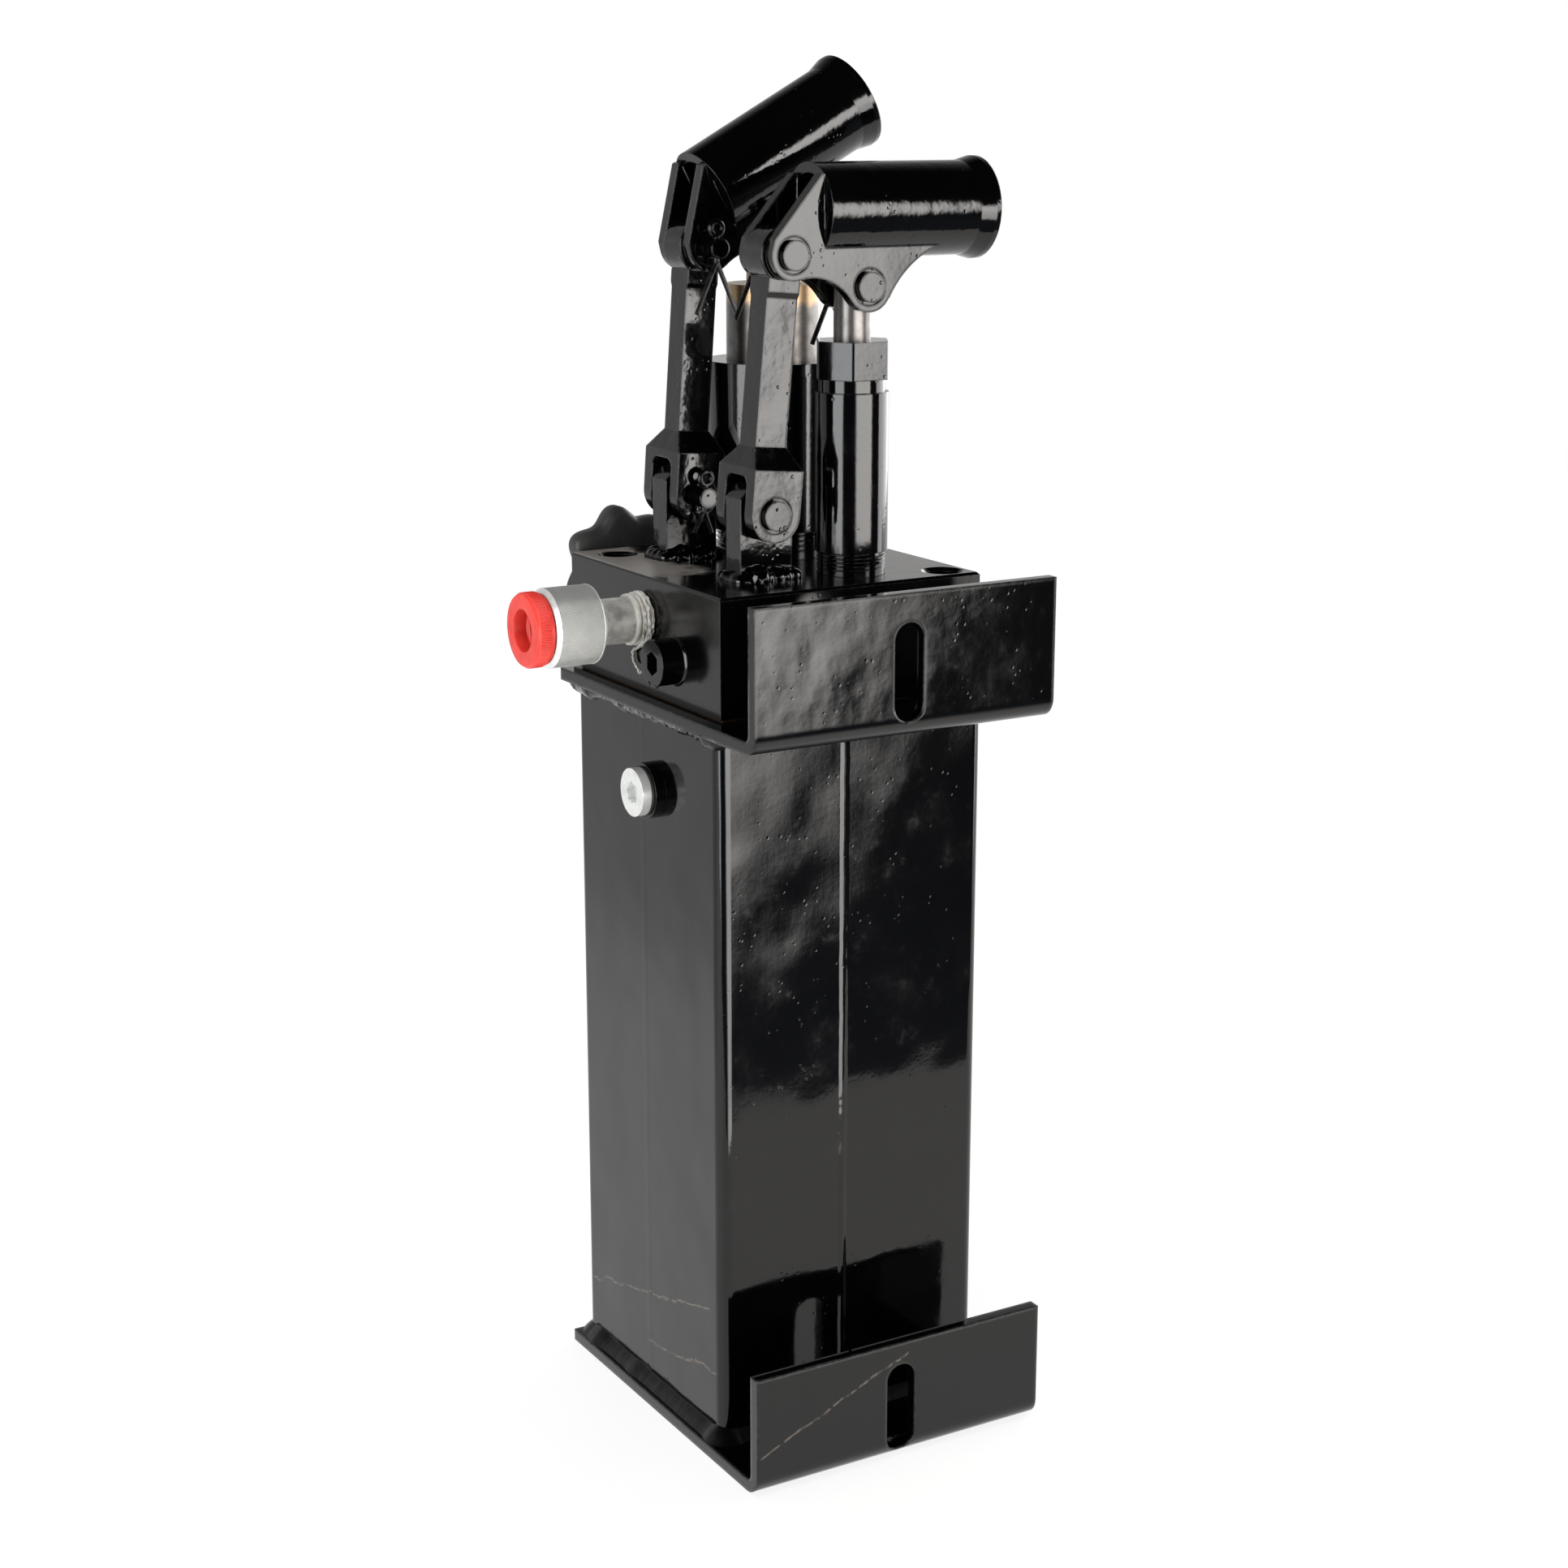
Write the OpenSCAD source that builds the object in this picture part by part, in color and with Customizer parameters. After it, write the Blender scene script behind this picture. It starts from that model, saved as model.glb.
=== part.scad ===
// Double-acting pair of hand pumps on one tank: two plunger pumps on a common steel block,
// each worked by its own lever, standing on a square oil tank with two wall brackets.
// Origin: tank axis on the underside of the lower bracket. +Z up, -Y the wall side,
// -X the coupler side. Millimetres.

/* [Tank] */
// Outside width of the square tank tube
tank_w = 120; // [110:1:126]
// Length of the tank tube
tank_h = 290; // [200:5:500]
// Wall thickness of the tank tube
tank_wall = 3; // [2:0.5:4]
// Outside corner radius of the tank tube
tank_r = 5; // [4:0.5:8]

/* [Brackets] */
// Length of both brackets along X
bracket_w = 132; // [132:1:150]
// Plate thickness of both brackets
plate_t = 5; // [4:0.5:6]
// Distance from the tank face to the outer face of the flanges
wall_gap = 38; // [34:1:60]
// Ledge of the plates behind the tank
back_ledge = 2; // [1:0.5:10]
// Height of the lower flange above the underside of its plate
lower_flange_h = 49.7; // [48:0.1:60]
// Height of the upper flange above the underside of its plate
upper_flange_h = 55; // [52:0.5:70]
// Width of the mounting slots
slot_w = 13; // [9:0.5:14]
// Length of the mounting slots from end to end
slot_len = 37.5; // [25:0.5:38]
// Height of the lower slot's centre above the underside of its plate
lower_slot_z = 21.7; // [21.5:0.1:26]
// Height of the upper slot's centre above the underside of its plate
upper_slot_z = 25.1; // [21.5:0.1:28]

/* [Pump block] */
// Length of the block along X
block_x = 116; // [114:1:120]
// Length of the block along Y
block_y = 124; // [122:1:128]
// Height of the block
block_h = 46.2; // [46.2:0.2:60]
// Thickness of the gasket under the block
gasket_t = 0.8; // [0.5:0.1:2]

/* [Pumps] */
// Y of the small pump's plane, near the wall
near_y = -29; // [-31:0.5:-28]
// Y of the large pump's plane
far_y = 31; // [30:0.5:33]
// X of both plungers
rod_x = 17; // [16:0.5:18]
// Diameter of the small plunger
near_rod_d = 14.4; // [14:0.1:14.6]
// Diameter of the large plunger
far_rod_d = 38; // [30:1:40]
// Outside diameter of the small barrel
near_barrel_d = 28.6; // [27:0.1:30]
// Outside diameter of the large barrel
far_barrel_d = 55; // [52:1:56]
// Top of the small barrel above the block
near_barrel_h = 89; // [86:1:90]
// Top of the large barrel above the block
far_barrel_h = 77; // [74:1:79]

/* [Levers] */
// X of the lug pins
lug_x = -24.9; // [-26:0.1:-24]
// Height of the lug pins above the block
lug_h = 25.9; // [24:0.1:27]
// Link length from pin to pin
link_len = 96.7; // [95:0.1:98]
// Distance between a lever's two pins
pin_gap = 35.6; // [35:0.1:36]
// Angle of the line through a lever's pins below its socket
pin_slope = 20.7; // [19:0.1:22]
// Upward tilt of the small pump's lever as drawn
near_tilt = 0; // [-12:0.5:44]
// Upward tilt of the large pump's lever as drawn
far_tilt = 28.4; // [-12:0.2:44]
// Outside diameter of a lever's socket tube
socket_d = 36; // [34:0.5:38]
// Bore of a lever's socket tube
socket_bore = 28; // [25:0.5:30]

/* [Coupler and knob] */
// Outside diameter of the coupler's knurled sleeve
sleeve_d = 31; // [30:0.5:32]
// Length of the coupler's knurled sleeve
sleeve_len = 20.5; // [19:0.5:22]
// Outside radius of the release knob over its lobes
knob_r = 26; // [24:0.5:28]
// Number of lobes on the release knob
knob_lobes = 7; // [5:1:8]
// Thickness of the release knob
knob_t = 10.5; // [8:0.5:12]

/* [Hidden] */
$fn = 64;
eps = 0.01;
slack = 0.05;

// Heights of the stack
tank_z = plate_t;
tank_top = tank_z + tank_h;
plate_top = tank_top + plate_t;
block_z = plate_top + gasket_t;
block_top = block_z + block_h;
block_x0 = -59;
block_x1 = block_x0 + block_x;
block_y0 = -60;
block_y1 = block_y0 + block_y;
tank_half = tank_w / 2;
flange_y = -tank_half - wall_gap;
bend_out = 8;
bend_in = bend_out - plate_t;
bead_r = 4.5;
back_bead_r = 2;

// Lever linkage: the link stands on the lug pin, the lever joins link and plunger
lug_z = block_top + lug_h;
rod_pin_x = rod_x + 0.1;
function lever_angle(tilt) = tilt - pin_slope;
function link_pin_x(tilt) = rod_pin_x - pin_gap * cos(lever_angle(tilt));
function link_angle(tilt) = asin((link_pin_x(tilt) - lug_x) / link_len);
function link_pin_z(tilt) = lug_z + link_len * cos(link_angle(tilt));
function rod_pin_z(tilt) = link_pin_z(tilt) + pin_gap * sin(lever_angle(tilt));

// Pins and their fits
pin_d = 8;
pin_fit = 0.05;
pin_grip = 0.02;
pin_head_d = 11.6;
pin_head_t = 1.8;
pin_tail = 7.5;
ring_r = 7;
ring_t = 0.7;
cotter_d = 2.4;
cotter_in = 4;

// Cheek plates of the levers
cheek_in = 7.5;
cheek_t = 5;
cheek_out = cheek_in + cheek_t;
cheek_lobe = 9.5;
socket_axis = 15.6;
socket_start = 13.4;
socket_end = 88.2;
rim_len = 8;
rim_r = 19.6;

// Links
fork_half_y = 14;
fork_half_x = 10.5;
fork_slot = 8;
link_half_x = 6.7;
link_half_y = 6;
eye_r = 11;
eye_half_y = 7;
eye_play = 2.3;
eye_axial = 0.65;
near_eye_shift = 0.7;
far_eye_shift = 1.3;

// Lugs on the block
lug_half_t = 5.5;
lug_x0 = -35.8;
lug_x1 = -13;
lug_top = lug_z + eye_r;
lug_chamfer = 5;

// Barrels, threads and seals
rod_fit = 0.06;
near_thread_d = 26;
far_thread_d = 46;
thread_depth = 12;
near_neck_h = 8;
far_neck_h = 10;
near_base = 350;
far_base = 362.5;
far_piston_top = 20;
barrel_foot = block_top - thread_depth + 0.5;
near_top = block_top + near_barrel_h;
far_top = block_top + far_barrel_h;
seal_h = 5;
seal_fit = 0.03;
near_seal_r = 10.2;
near_seal_at = 10;
far_seal_r = far_rod_d / 2 + 3.6;
far_seal_at = 11;

// Small rounding-off of the block and the play of round parts in their pockets
block_chamfer = 1;
pocket_play = 0.1;

// Passages in the block
chamber_d = 12;
port_d = 6;
ball_d = 9;
check_z = 318;
inlet_seat_z = 309;
outlet_seat_x = 30;
outlet_plug_x = 47;
cross_x = 40;
gallery_y = 1;
gallery_z = 330;
gallery_d = 8;
relief_y = -24.5;
relief_z = 317.5;
relief_seat_x = -30;
relief_ball_d = 7;
relief_port_d = 5;
relief_bore_r = 5;
relief_thread_r = 7;
relief_thread_len = 11.5;
relief_cross_x = relief_seat_x + 9;
relief_head_r = 9;
relief_head_t = 10;
relief_hex_af = 9.8;
drain_x = -40;
drain_d = 6;
drain_hole_r = 4;
spindle_x = -32;
spindle_z = 337.5;
spindle_d = 7;
release_seat_y = 15;
release_ball_d = 6;
release_port_d = 4;
release_drain_y = 22;
release_drain_d = 5;
spindle_groove_r = 4.8;
spindle_groove_y = 57;
spindle_groove_w = 2;
screw_at = [[-45, 50], [46, -50]];
screw_d = 8;
screw_head_d = 13;
screw_head_t = 8;
screw_seat_z = block_top - 14;
screw_hole_d = 14;
screw_mouth = 1.4;
screw_shank_len = 45;
screw_hex_af = 6.9;
nut_t = 6.5;
nut_af = 13;

// Coupler
coupler_x0 = -82.4;
sleeve_x1 = coupler_x0;
sleeve_x0 = coupler_x0 - sleeve_len;
coupler_body_r = 12;
coupler_bore_r = 8;
coupler_body_x0 = sleeve_x0 + 1.5;
plug_stem_r = 7.9;
plug_flange_r = 14.6;
plug_recess_r = 8.1;
plug_recess_depth = 6;
plug_core_r = 6.6;
plug_x0 = sleeve_x0 - 8.1;
nipple_r = 9;
nipple_thread_r = 8.5;
nipple_thread_len = 13.5;
nipple_spigot_r = 7;
nipple_bore_r = 4;
sleeve_edge = 1.2;
sleeve_groove_r = 13.7;
sleeve_spring_r = 13.4;
locking_count = 6;
locking_hole_d = 4.1;
locking_ball_d = 3.9;
locking_at = 5;

// Knob
knob_y0 = block_y1 + 2.5;
knob_lobe_r = 7;
knob_waist = 4.5;
knob_hub_r = 9;
knob_first_lobe = 150;

// Filler
filler_y = -7;
filler_z = 263;
boss_x = -tank_half - 4.6;
boss_r = 11.2;
boss_neck_r = 8;
filler_bore_r = 6.6;
filler_head_r = 9.6;
filler_head_t = 4.8;
filler_star_w = 6.8;

// Suction pipes and strainers
pipe_r = 6;
pipe_bore_r = 4.5;
pipe_pocket_h = 6;
pipe_hole_r = 7.1;
strainer_r = 13;
strainer_wall = 1;
strainer_z0 = 12;
strainer_z1 = 36;

// ---- helpers ----

// Round bar along X, Y or Z between two coordinates
module bar_x(r, x0, x1, y = 0, z = 0) {
    translate([x0, y, z]) rotate([0, 90, 0]) cylinder(r = r, h = x1 - x0);
}
module bar_y(r, y0, y1, x = 0, z = 0) {
    translate([x, y1, z]) rotate([90, 0, 0]) cylinder(r = r, h = y1 - y0);
}
module bar_z(r, z0, z1, x = 0, y = 0) {
    translate([x, y, z0]) cylinder(r = r, h = z1 - z0);
}

// Box between two corners
module block_between(a, b) {
    translate(a) cube(b - a);
}

// Square with rounded corners
module round_square(w, r) {
    square([w, w - 2 * r], center = true);
    square([w - 2 * r, w], center = true);
    for (sx = [-1, 1], sy = [-1, 1])
        translate([sx, sy] * (w / 2 - r)) circle(r);
}

// Outline in X and Z made as thick as y0 to y1
module plate_xz(y0, y1) {
    translate([0, y1, 0]) rotate([90, 0, 0]) linear_extrude(y1 - y0) children();
}

// Outline in Y and Z made as long as x0 to x1
module plate_yz(x0, x1) {
    translate([x0, 0, 0]) rotate([90, 0, 90]) linear_extrude(x1 - x0) children();
}

// Compression spring kept as its envelope tube along X
module spring_x(r, wire, x0, x1, y, z) {
    difference() {
        bar_x(r, x0, x1, y, z);
        bar_x(r - wire, x0 - 1, x1 + 1, y, z);
    }
}

// ---- tank and brackets ----

// Side outline of a bracket: plate, bend and flange, underside at z = 0
module bracket_outline(flange_h) {
    translate([flange_y + bend_out, 0])
        square([tank_half + back_ledge - flange_y - bend_out, plate_t]);
    translate([flange_y, bend_out]) square([plate_t, flange_h - bend_out]);
    intersection() {
        translate([flange_y + bend_out, bend_out]) difference() {
            circle(bend_out);
            circle(bend_in);
        }
        translate([flange_y, 0]) square(bend_out);
    }
}

// Slot through a flange, its centre at the given height
module flange_slot(z) {
    y0 = flange_y - 1;
    y1 = flange_y + bend_out;
    half = (slot_len - slot_w) / 2;
    for (s = [-1, 1]) bar_y(slot_w / 2, y0, y1, 0, z + s * half);
    block_between([-slot_w / 2, y0, z - half], [slot_w / 2, y1, z + half]);
}

module lower_bracket() {
    color("black") difference() {
        plate_yz(-bracket_w / 2, bracket_w / 2) bracket_outline(lower_flange_h);
        flange_slot(lower_slot_z);
    }
}

// Holes that the passages, pipes and screws need through the upper plate and the gasket
module plate_holes(z0, z1) {
    for (y = [near_y, far_y]) bar_z(pipe_hole_r, z0, z1, rod_x, y);
    bar_z(drain_hole_r, z0, z1, drain_x, relief_y);
    bar_z(drain_hole_r, z0, z1, spindle_x, release_drain_y);
    for (p = screw_at) bar_z(screw_d / 2 + 0.5, z0, z1, p[0], p[1]);
}

module upper_bracket() {
    color("black") difference() {
        translate([0, 0, tank_top])
            plate_yz(-bracket_w / 2, bracket_w / 2) bracket_outline(upper_flange_h);
        flange_slot(tank_top + upper_slot_z);
        plate_holes(tank_top - 1, plate_top + 1);
    }
}

module tank_shell() {
    color("black") difference() {
        translate([0, 0, tank_z]) linear_extrude(tank_h) round_square(tank_w, tank_r);
        translate([0, 0, tank_z - 1])
            linear_extrude(tank_h + 2) round_square(tank_w - 2 * tank_wall, tank_r - tank_wall);
        bar_x(boss_neck_r + pocket_play, -tank_half - 1, -tank_half + tank_wall + 1, filler_y, filler_z);
    }
}

// Bead round the tank where it meets a plate, on the side of the plate that side says
module tank_bead(z, side) {
    difference() {
        union() {
            for (s = [-1, 1]) bar_y(bead_r, -tank_half, tank_half, s * tank_half, z);
            bar_x(bead_r, -tank_half, tank_half, -tank_half, z);
            bar_x(back_bead_r, -tank_half - back_bead_r, tank_half + back_bead_r, tank_half, z);
            for (s = [-1, 1]) translate([s * tank_half, -tank_half, z]) sphere(bead_r);
        }
        translate([0, 0, z - 10]) linear_extrude(20) round_square(tank_w, tank_r);
        translate([-tank_w, -tank_w, side > 0 ? z - 20 : z]) cube([2 * tank_w, 2 * tank_w, 20]);
    }
}

module foot_weld() {
    color("black") tank_bead(tank_z, 1);
}

module top_weld() {
    color("black") tank_bead(tank_top, -1);
}

module filler_boss() {
    color("black") difference() {
        union() {
            bar_x(boss_r, boss_x, -tank_half - slack, filler_y, filler_z);
            bar_x(boss_neck_r, -tank_half - 1, -tank_half + tank_wall + 5, filler_y, filler_z);
        }
        bar_x(filler_bore_r, boss_x - 1, 0, filler_y, filler_z);
    }
}

module filler_plug() {
    color("silver") difference() {
        union() {
            bar_x(filler_head_r, boss_x - filler_head_t, boss_x - 1, filler_y, filler_z);
            bar_x(filler_bore_r - pocket_play, boss_x - 1.5, boss_x + 11, filler_y, filler_z);
        }
        for (a = [0, 45]) translate([boss_x - filler_head_t - 1, filler_y, filler_z])
            rotate([a, 0, 0]) translate([0, -filler_star_w / 2, -filler_star_w / 2])
                cube([4, filler_star_w, filler_star_w]);
    }
}

module filler_seal() {
    color("dimgray") difference() {
        bar_x(filler_head_r + 0.2, boss_x - 1, boss_x, filler_y, filler_z);
        bar_x(filler_bore_r, boss_x - 2, boss_x + 1, filler_y, filler_z);
    }
}

// ---- block and what stands on it ----

module block_gasket() {
    color("saddlebrown") difference() {
        block_between([block_x0 + 2, block_y0 + 2, plate_top], [block_x1 - 2, tank_half, block_z]);
        plate_holes(plate_top - 1, block_z + 1);
    }
}

// Passages of one pump: thread pocket, chamber, inlet, outlet pocket and its cross bore
module pump_passages(y, thread_d) {
    bar_z(thread_d / 2 + slack, block_top - thread_depth, block_top + 1, rod_x, y);
    bar_z(chamber_d / 2, inlet_seat_z, block_top - thread_depth + 1, rod_x, y);
    bar_z(port_d / 2, block_z - 1, inlet_seat_z + 1, rod_x, y);
    bar_z(pipe_r + pocket_play, block_z - 1, block_z + pipe_pocket_h, rod_x, y);
    bar_x(port_d / 2, rod_x, outlet_seat_x + 1, y, check_z);
    bar_x(chamber_d / 2, outlet_seat_x, block_x1 + 1, y, check_z);
    bar_y(port_d / 2, min(y, gallery_y), max(y, gallery_y), cross_x, check_z);
}

module pump_block() {
    color("black") difference() {
        intersection() {
            block_between([block_x0, block_y0, block_z], [block_x1, block_y1, block_top]);
            plate_xz(block_y0 - 1, block_y1 + 1) polygon([
                [block_x0, block_z], [block_x1, block_z], [block_x1, block_top - block_chamfer],
                [block_x1 - block_chamfer, block_top], [block_x0 + block_chamfer, block_top],
                [block_x0, block_top - block_chamfer]]);
            plate_yz(block_x0 - 1, block_x1 + 1) polygon([
                [block_y0, block_z], [block_y1, block_z], [block_y1, block_top - block_chamfer],
                [block_y1 - block_chamfer, block_top], [block_y0 + block_chamfer, block_top],
                [block_y0, block_top - block_chamfer]]);
        }
        pump_passages(near_y, near_thread_d);
        pump_passages(far_y, far_thread_d);
        // Main gallery from the coupler port to the outlet cross bore
        bar_x(gallery_d / 2, block_x0 - 1, cross_x, gallery_y, gallery_z);
        bar_x(nipple_thread_r + pocket_play, block_x0 - 1, block_x0 + nipple_thread_len + 0.5,
            gallery_y, gallery_z);
        bar_z(port_d / 2, check_z, gallery_z, cross_x, gallery_y);
        // Relief valve pocket, its port and its drain
        bar_x(relief_thread_r + pocket_play, block_x0 - 1, block_x0 + relief_thread_len + 0.5,
            relief_y, relief_z);
        bar_x(relief_bore_r, block_x0, relief_seat_x, relief_y, relief_z);
        bar_x(relief_port_d / 2, relief_seat_x - 1, relief_cross_x + 1, relief_y, relief_z);
        bar_y(relief_port_d / 2, relief_y, gallery_y, relief_cross_x, relief_z);
        bar_z(relief_port_d / 2, relief_z, gallery_z, relief_cross_x, gallery_y);
        bar_z(drain_d / 2, block_z - 1, relief_z, drain_x, relief_y);
        // Release valve pocket, its port, its drain and its seal groove
        bar_y(spindle_d / 2 + pocket_play, release_seat_y, block_y1 + 1, spindle_x, spindle_z);
        bar_y(release_port_d / 2, gallery_y, release_seat_y + 1, spindle_x, spindle_z);
        bar_z(release_port_d / 2, gallery_z, spindle_z, spindle_x, gallery_y);
        bar_z(release_drain_d / 2, block_z - 1, spindle_z, spindle_x, release_drain_y);
        bar_y(spindle_groove_r, spindle_groove_y, spindle_groove_y + spindle_groove_w,
            spindle_x, spindle_z);
        // Screw holes with sunk heads and chamfered mouths
        for (p = screw_at) {
            bar_z(screw_d / 2 + 0.4, block_z - 1, block_top, p[0], p[1]);
            bar_z(screw_hole_d / 2, screw_seat_z, block_top + 1, p[0], p[1]);
            translate([p[0], p[1], block_top - screw_mouth])
                cylinder(r1 = screw_hole_d / 2, r2 = screw_hole_d / 2 + screw_mouth + eps,
                    h = screw_mouth + eps);
        }
    }
}

module block_screws() {
    color("dimgray") for (p = screw_at) translate([p[0], p[1], screw_seat_z]) difference() {
        union() {
            cylinder(d = screw_head_d, h = screw_head_t);
            translate([0, 0, -screw_shank_len]) cylinder(d = screw_d, h = screw_shank_len + eps);
        }
        translate([0, 0, screw_head_t - 4]) cylinder(d = screw_hex_af, h = 5, $fn = 6);
    }
}

module weld_nuts() {
    color("dimgray") for (p = screw_at) translate([p[0], p[1], tank_top - nut_t]) difference() {
        cylinder(d = nut_af / cos(30), h = nut_t, $fn = 6);
        translate([0, 0, -1]) cylinder(d = screw_d + 0.1, h = nut_t + 2);
    }
}

// Upright plate with a cross hole for the lug pin
module lug(y) {
    difference() {
        plate_xz(y - lug_half_t, y + lug_half_t) polygon([
            [lug_x0, block_top], [lug_x1, block_top], [lug_x1, lug_top - lug_chamfer],
            [lug_x1 - lug_chamfer, lug_top], [lug_x0 + lug_chamfer, lug_top],
            [lug_x0, lug_top - lug_chamfer]]);
        bar_y(pin_d / 2 + pin_fit, y - 10, y + 10, lug_x, lug_z);
    }
}

module near_lug() {
    color("black") lug(near_y);
}

module far_lug() {
    color("black") lug(far_y);
}

// Beads along the two long feet of both lugs
module lug_welds() {
    r = 4;
    past = 2 * r;
    color("black") for (y = [near_y, far_y]) difference() {
        for (s = [-1, 1]) bar_x(r, lug_x0 + 1, lug_x1 - 1, y + s * lug_half_t, block_top);
        block_between([lug_x0 - past, y - lug_half_t, block_top - 1],
            [lug_x1 + past, y + lug_half_t, block_top + past]);
        block_between([lug_x0 - past, y - 20, block_top - past], [lug_x1 + past, y + 20, block_top]);
    }
}

module near_barrel() {
    hex_z = near_top - 14.5;
    neck_h = 5;
    neck_in = 1.4;
    hex_over = 2.6;
    r = near_barrel_d / 2;
    color("black") difference() {
        union() {
            bar_z(near_thread_d / 2, barrel_foot, block_top + near_neck_h, rod_x, near_y);
            bar_z(r, block_top + near_neck_h, hex_z - neck_h, rod_x, near_y);
            bar_z(r - neck_in, hex_z - neck_h - eps, hex_z + eps, rod_x, near_y);
            intersection() {
                bar_z(r + 1, hex_z, near_top, rod_x, near_y);
                translate([rod_x, near_y, hex_z])
                    cylinder(d = 2 * r + hex_over, h = near_top - hex_z, $fn = 6);
            }
        }
        bar_z(near_rod_d / 2 + rod_fit, barrel_foot - 1, near_top + 1, rod_x, near_y);
        bar_z(near_seal_r, near_top - near_seal_at, near_top - near_seal_at + seal_h, rod_x, near_y);
    }
}

module far_barrel() {
    color("black") difference() {
        union() {
            bar_z(far_thread_d / 2, barrel_foot, block_top + far_neck_h, rod_x, far_y);
            bar_z(far_barrel_d / 2, block_top + far_neck_h - eps, far_top, rod_x, far_y);
        }
        bar_z(far_rod_d / 2 + rod_fit, barrel_foot - 1, far_top + 1, rod_x, far_y);
        bar_z(far_seal_r, far_top - far_seal_at, far_top - far_seal_at + seal_h, rod_x, far_y);
    }
}

// Ring that fills a groove round a plunger
module seal_ring(r_out, r_in, z0, z1, y) {
    difference() {
        bar_z(r_out, z0, z1, rod_x, y);
        bar_z(r_in, z0 - 1, z1 + 1, rod_x, y);
    }
}

module near_rod_seal() {
    z = near_top - near_seal_at;
    color("dimgray") seal_ring(near_seal_r, near_rod_d / 2 + seal_fit, z, z + seal_h, near_y);
}

module far_piston_seal() {
    z = far_top - far_seal_at;
    color("dimgray") seal_ring(far_seal_r, far_rod_d / 2 + seal_fit, z, z + seal_h, far_y);
}

// ---- valves ----

module relief_plug() {
    color("black") difference() {
        union() {
            bar_x(relief_head_r, block_x0 - relief_head_t, block_x0, relief_y, relief_z);
            bar_x(relief_thread_r, block_x0 - eps, block_x0 + relief_thread_len, relief_y, relief_z);
        }
        translate([block_x0 - relief_head_t - 1, relief_y, relief_z]) rotate([0, 90, 0])
            cylinder(d = relief_hex_af, h = 6.5, $fn = 6);
    }
}

module relief_spring() {
    color("silver") spring_x(3, 1, block_x0 + relief_thread_len + 0.1, relief_seat_x - 8, relief_y, relief_z);
}

// Ball resting on a round port, its centre behind the seat plane
function ball_back(ball, port) = sqrt(ball * ball - port * port) / 2 + 0.1;

module relief_ball() {
    color("silver") translate([relief_seat_x - ball_back(relief_ball_d, relief_port_d), relief_y, relief_z])
        sphere(d = relief_ball_d);
}

module inlet_ball(y) {
    color("silver") translate([rod_x, y, inlet_seat_z + ball_back(ball_d, port_d)])
        sphere(d = ball_d);
}

module outlet_ball(y) {
    color("silver") translate([outlet_seat_x + ball_back(ball_d, port_d), y, check_z])
        sphere(d = ball_d);
}

module near_inlet_ball() {
    inlet_ball(near_y);
}

module near_outlet_ball() {
    outlet_ball(near_y);
}

module far_inlet_ball() {
    inlet_ball(far_y);
}

module far_outlet_ball() {
    outlet_ball(far_y);
}

module outlet_springs() {
    x0 = outlet_seat_x + ball_back(ball_d, port_d) + ball_d / 2 + 1.5;
    color("silver") for (y = [near_y, far_y])
        spring_x(4, 1, x0, outlet_plug_x - slack, y, check_z);
}

module outlet_plugs() {
    color("dimgray") for (y = [near_y, far_y]) difference() {
        bar_x(chamber_d / 2 - slack, outlet_plug_x, block_x1 - 1, y, check_z);
        translate([block_x1 - 6, y, check_z]) rotate([0, 90, 0])
            cylinder(d = screw_hex_af, h = 6, $fn = 6);
    }
}

module release_ball() {
    y = release_seat_y + ball_back(release_ball_d, release_port_d);
    color("silver") translate([spindle_x, y, spindle_z]) sphere(d = release_ball_d);
}

module release_spindle() {
    ball_y = release_seat_y + ball_back(release_ball_d, release_port_d);
    color("silver") bar_y(spindle_d / 2, ball_y + release_ball_d / 2 + slack,
        knob_y0 + knob_t - pocket_play, spindle_x, spindle_z);
}

module spindle_seal() {
    color("dimgray") difference() {
        bar_y(spindle_groove_r, spindle_groove_y + slack, spindle_groove_y + spindle_groove_w - slack,
            spindle_x, spindle_z);
        bar_y(spindle_d / 2 + seal_fit, spindle_groove_y - 1, spindle_groove_y + spindle_groove_w + 1,
            spindle_x, spindle_z);
    }
}

module star_knob() {
    lobe_at = knob_r - knob_lobe_r;
    color("dimgray") translate([spindle_x, 0, spindle_z]) difference() {
        union() {
            bar_y(knob_r - knob_waist, knob_y0, knob_y0 + knob_t);
            for (i = [0:knob_lobes - 1]) {
                a = knob_first_lobe + i * 360 / knob_lobes;
                bar_y(knob_lobe_r, knob_y0, knob_y0 + knob_t, lobe_at * cos(a), lobe_at * sin(a));
            }
            bar_y(knob_hub_r, block_y1 + 0.4, knob_y0 + eps);
        }
        bar_y(spindle_d / 2 + pin_fit, block_y1, knob_y0 + knob_t + 1);
    }
}

// ---- suction side, inside the tank ----

module suction_pipes() {
    color("silver") for (y = [near_y, far_y]) difference() {
        bar_z(pipe_r, strainer_z0 + 12, block_z + pipe_pocket_h - pocket_play, rod_x, y);
        bar_z(pipe_bore_r, strainer_z0 + 11, block_z + pipe_pocket_h + 1, rod_x, y);
    }
}

module suction_strainers() {
    color("gray") for (y = [near_y, far_y]) difference() {
        bar_z(strainer_r, strainer_z0, strainer_z1, rod_x, y);
        bar_z(strainer_r - strainer_wall, strainer_z0 + strainer_wall, strainer_z1 - strainer_wall,
            rod_x, y);
        bar_z(pipe_r + slack, strainer_z1 - 6, strainer_z1 + 4, rod_x, y);
    }
}

// ---- coupler ----

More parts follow.
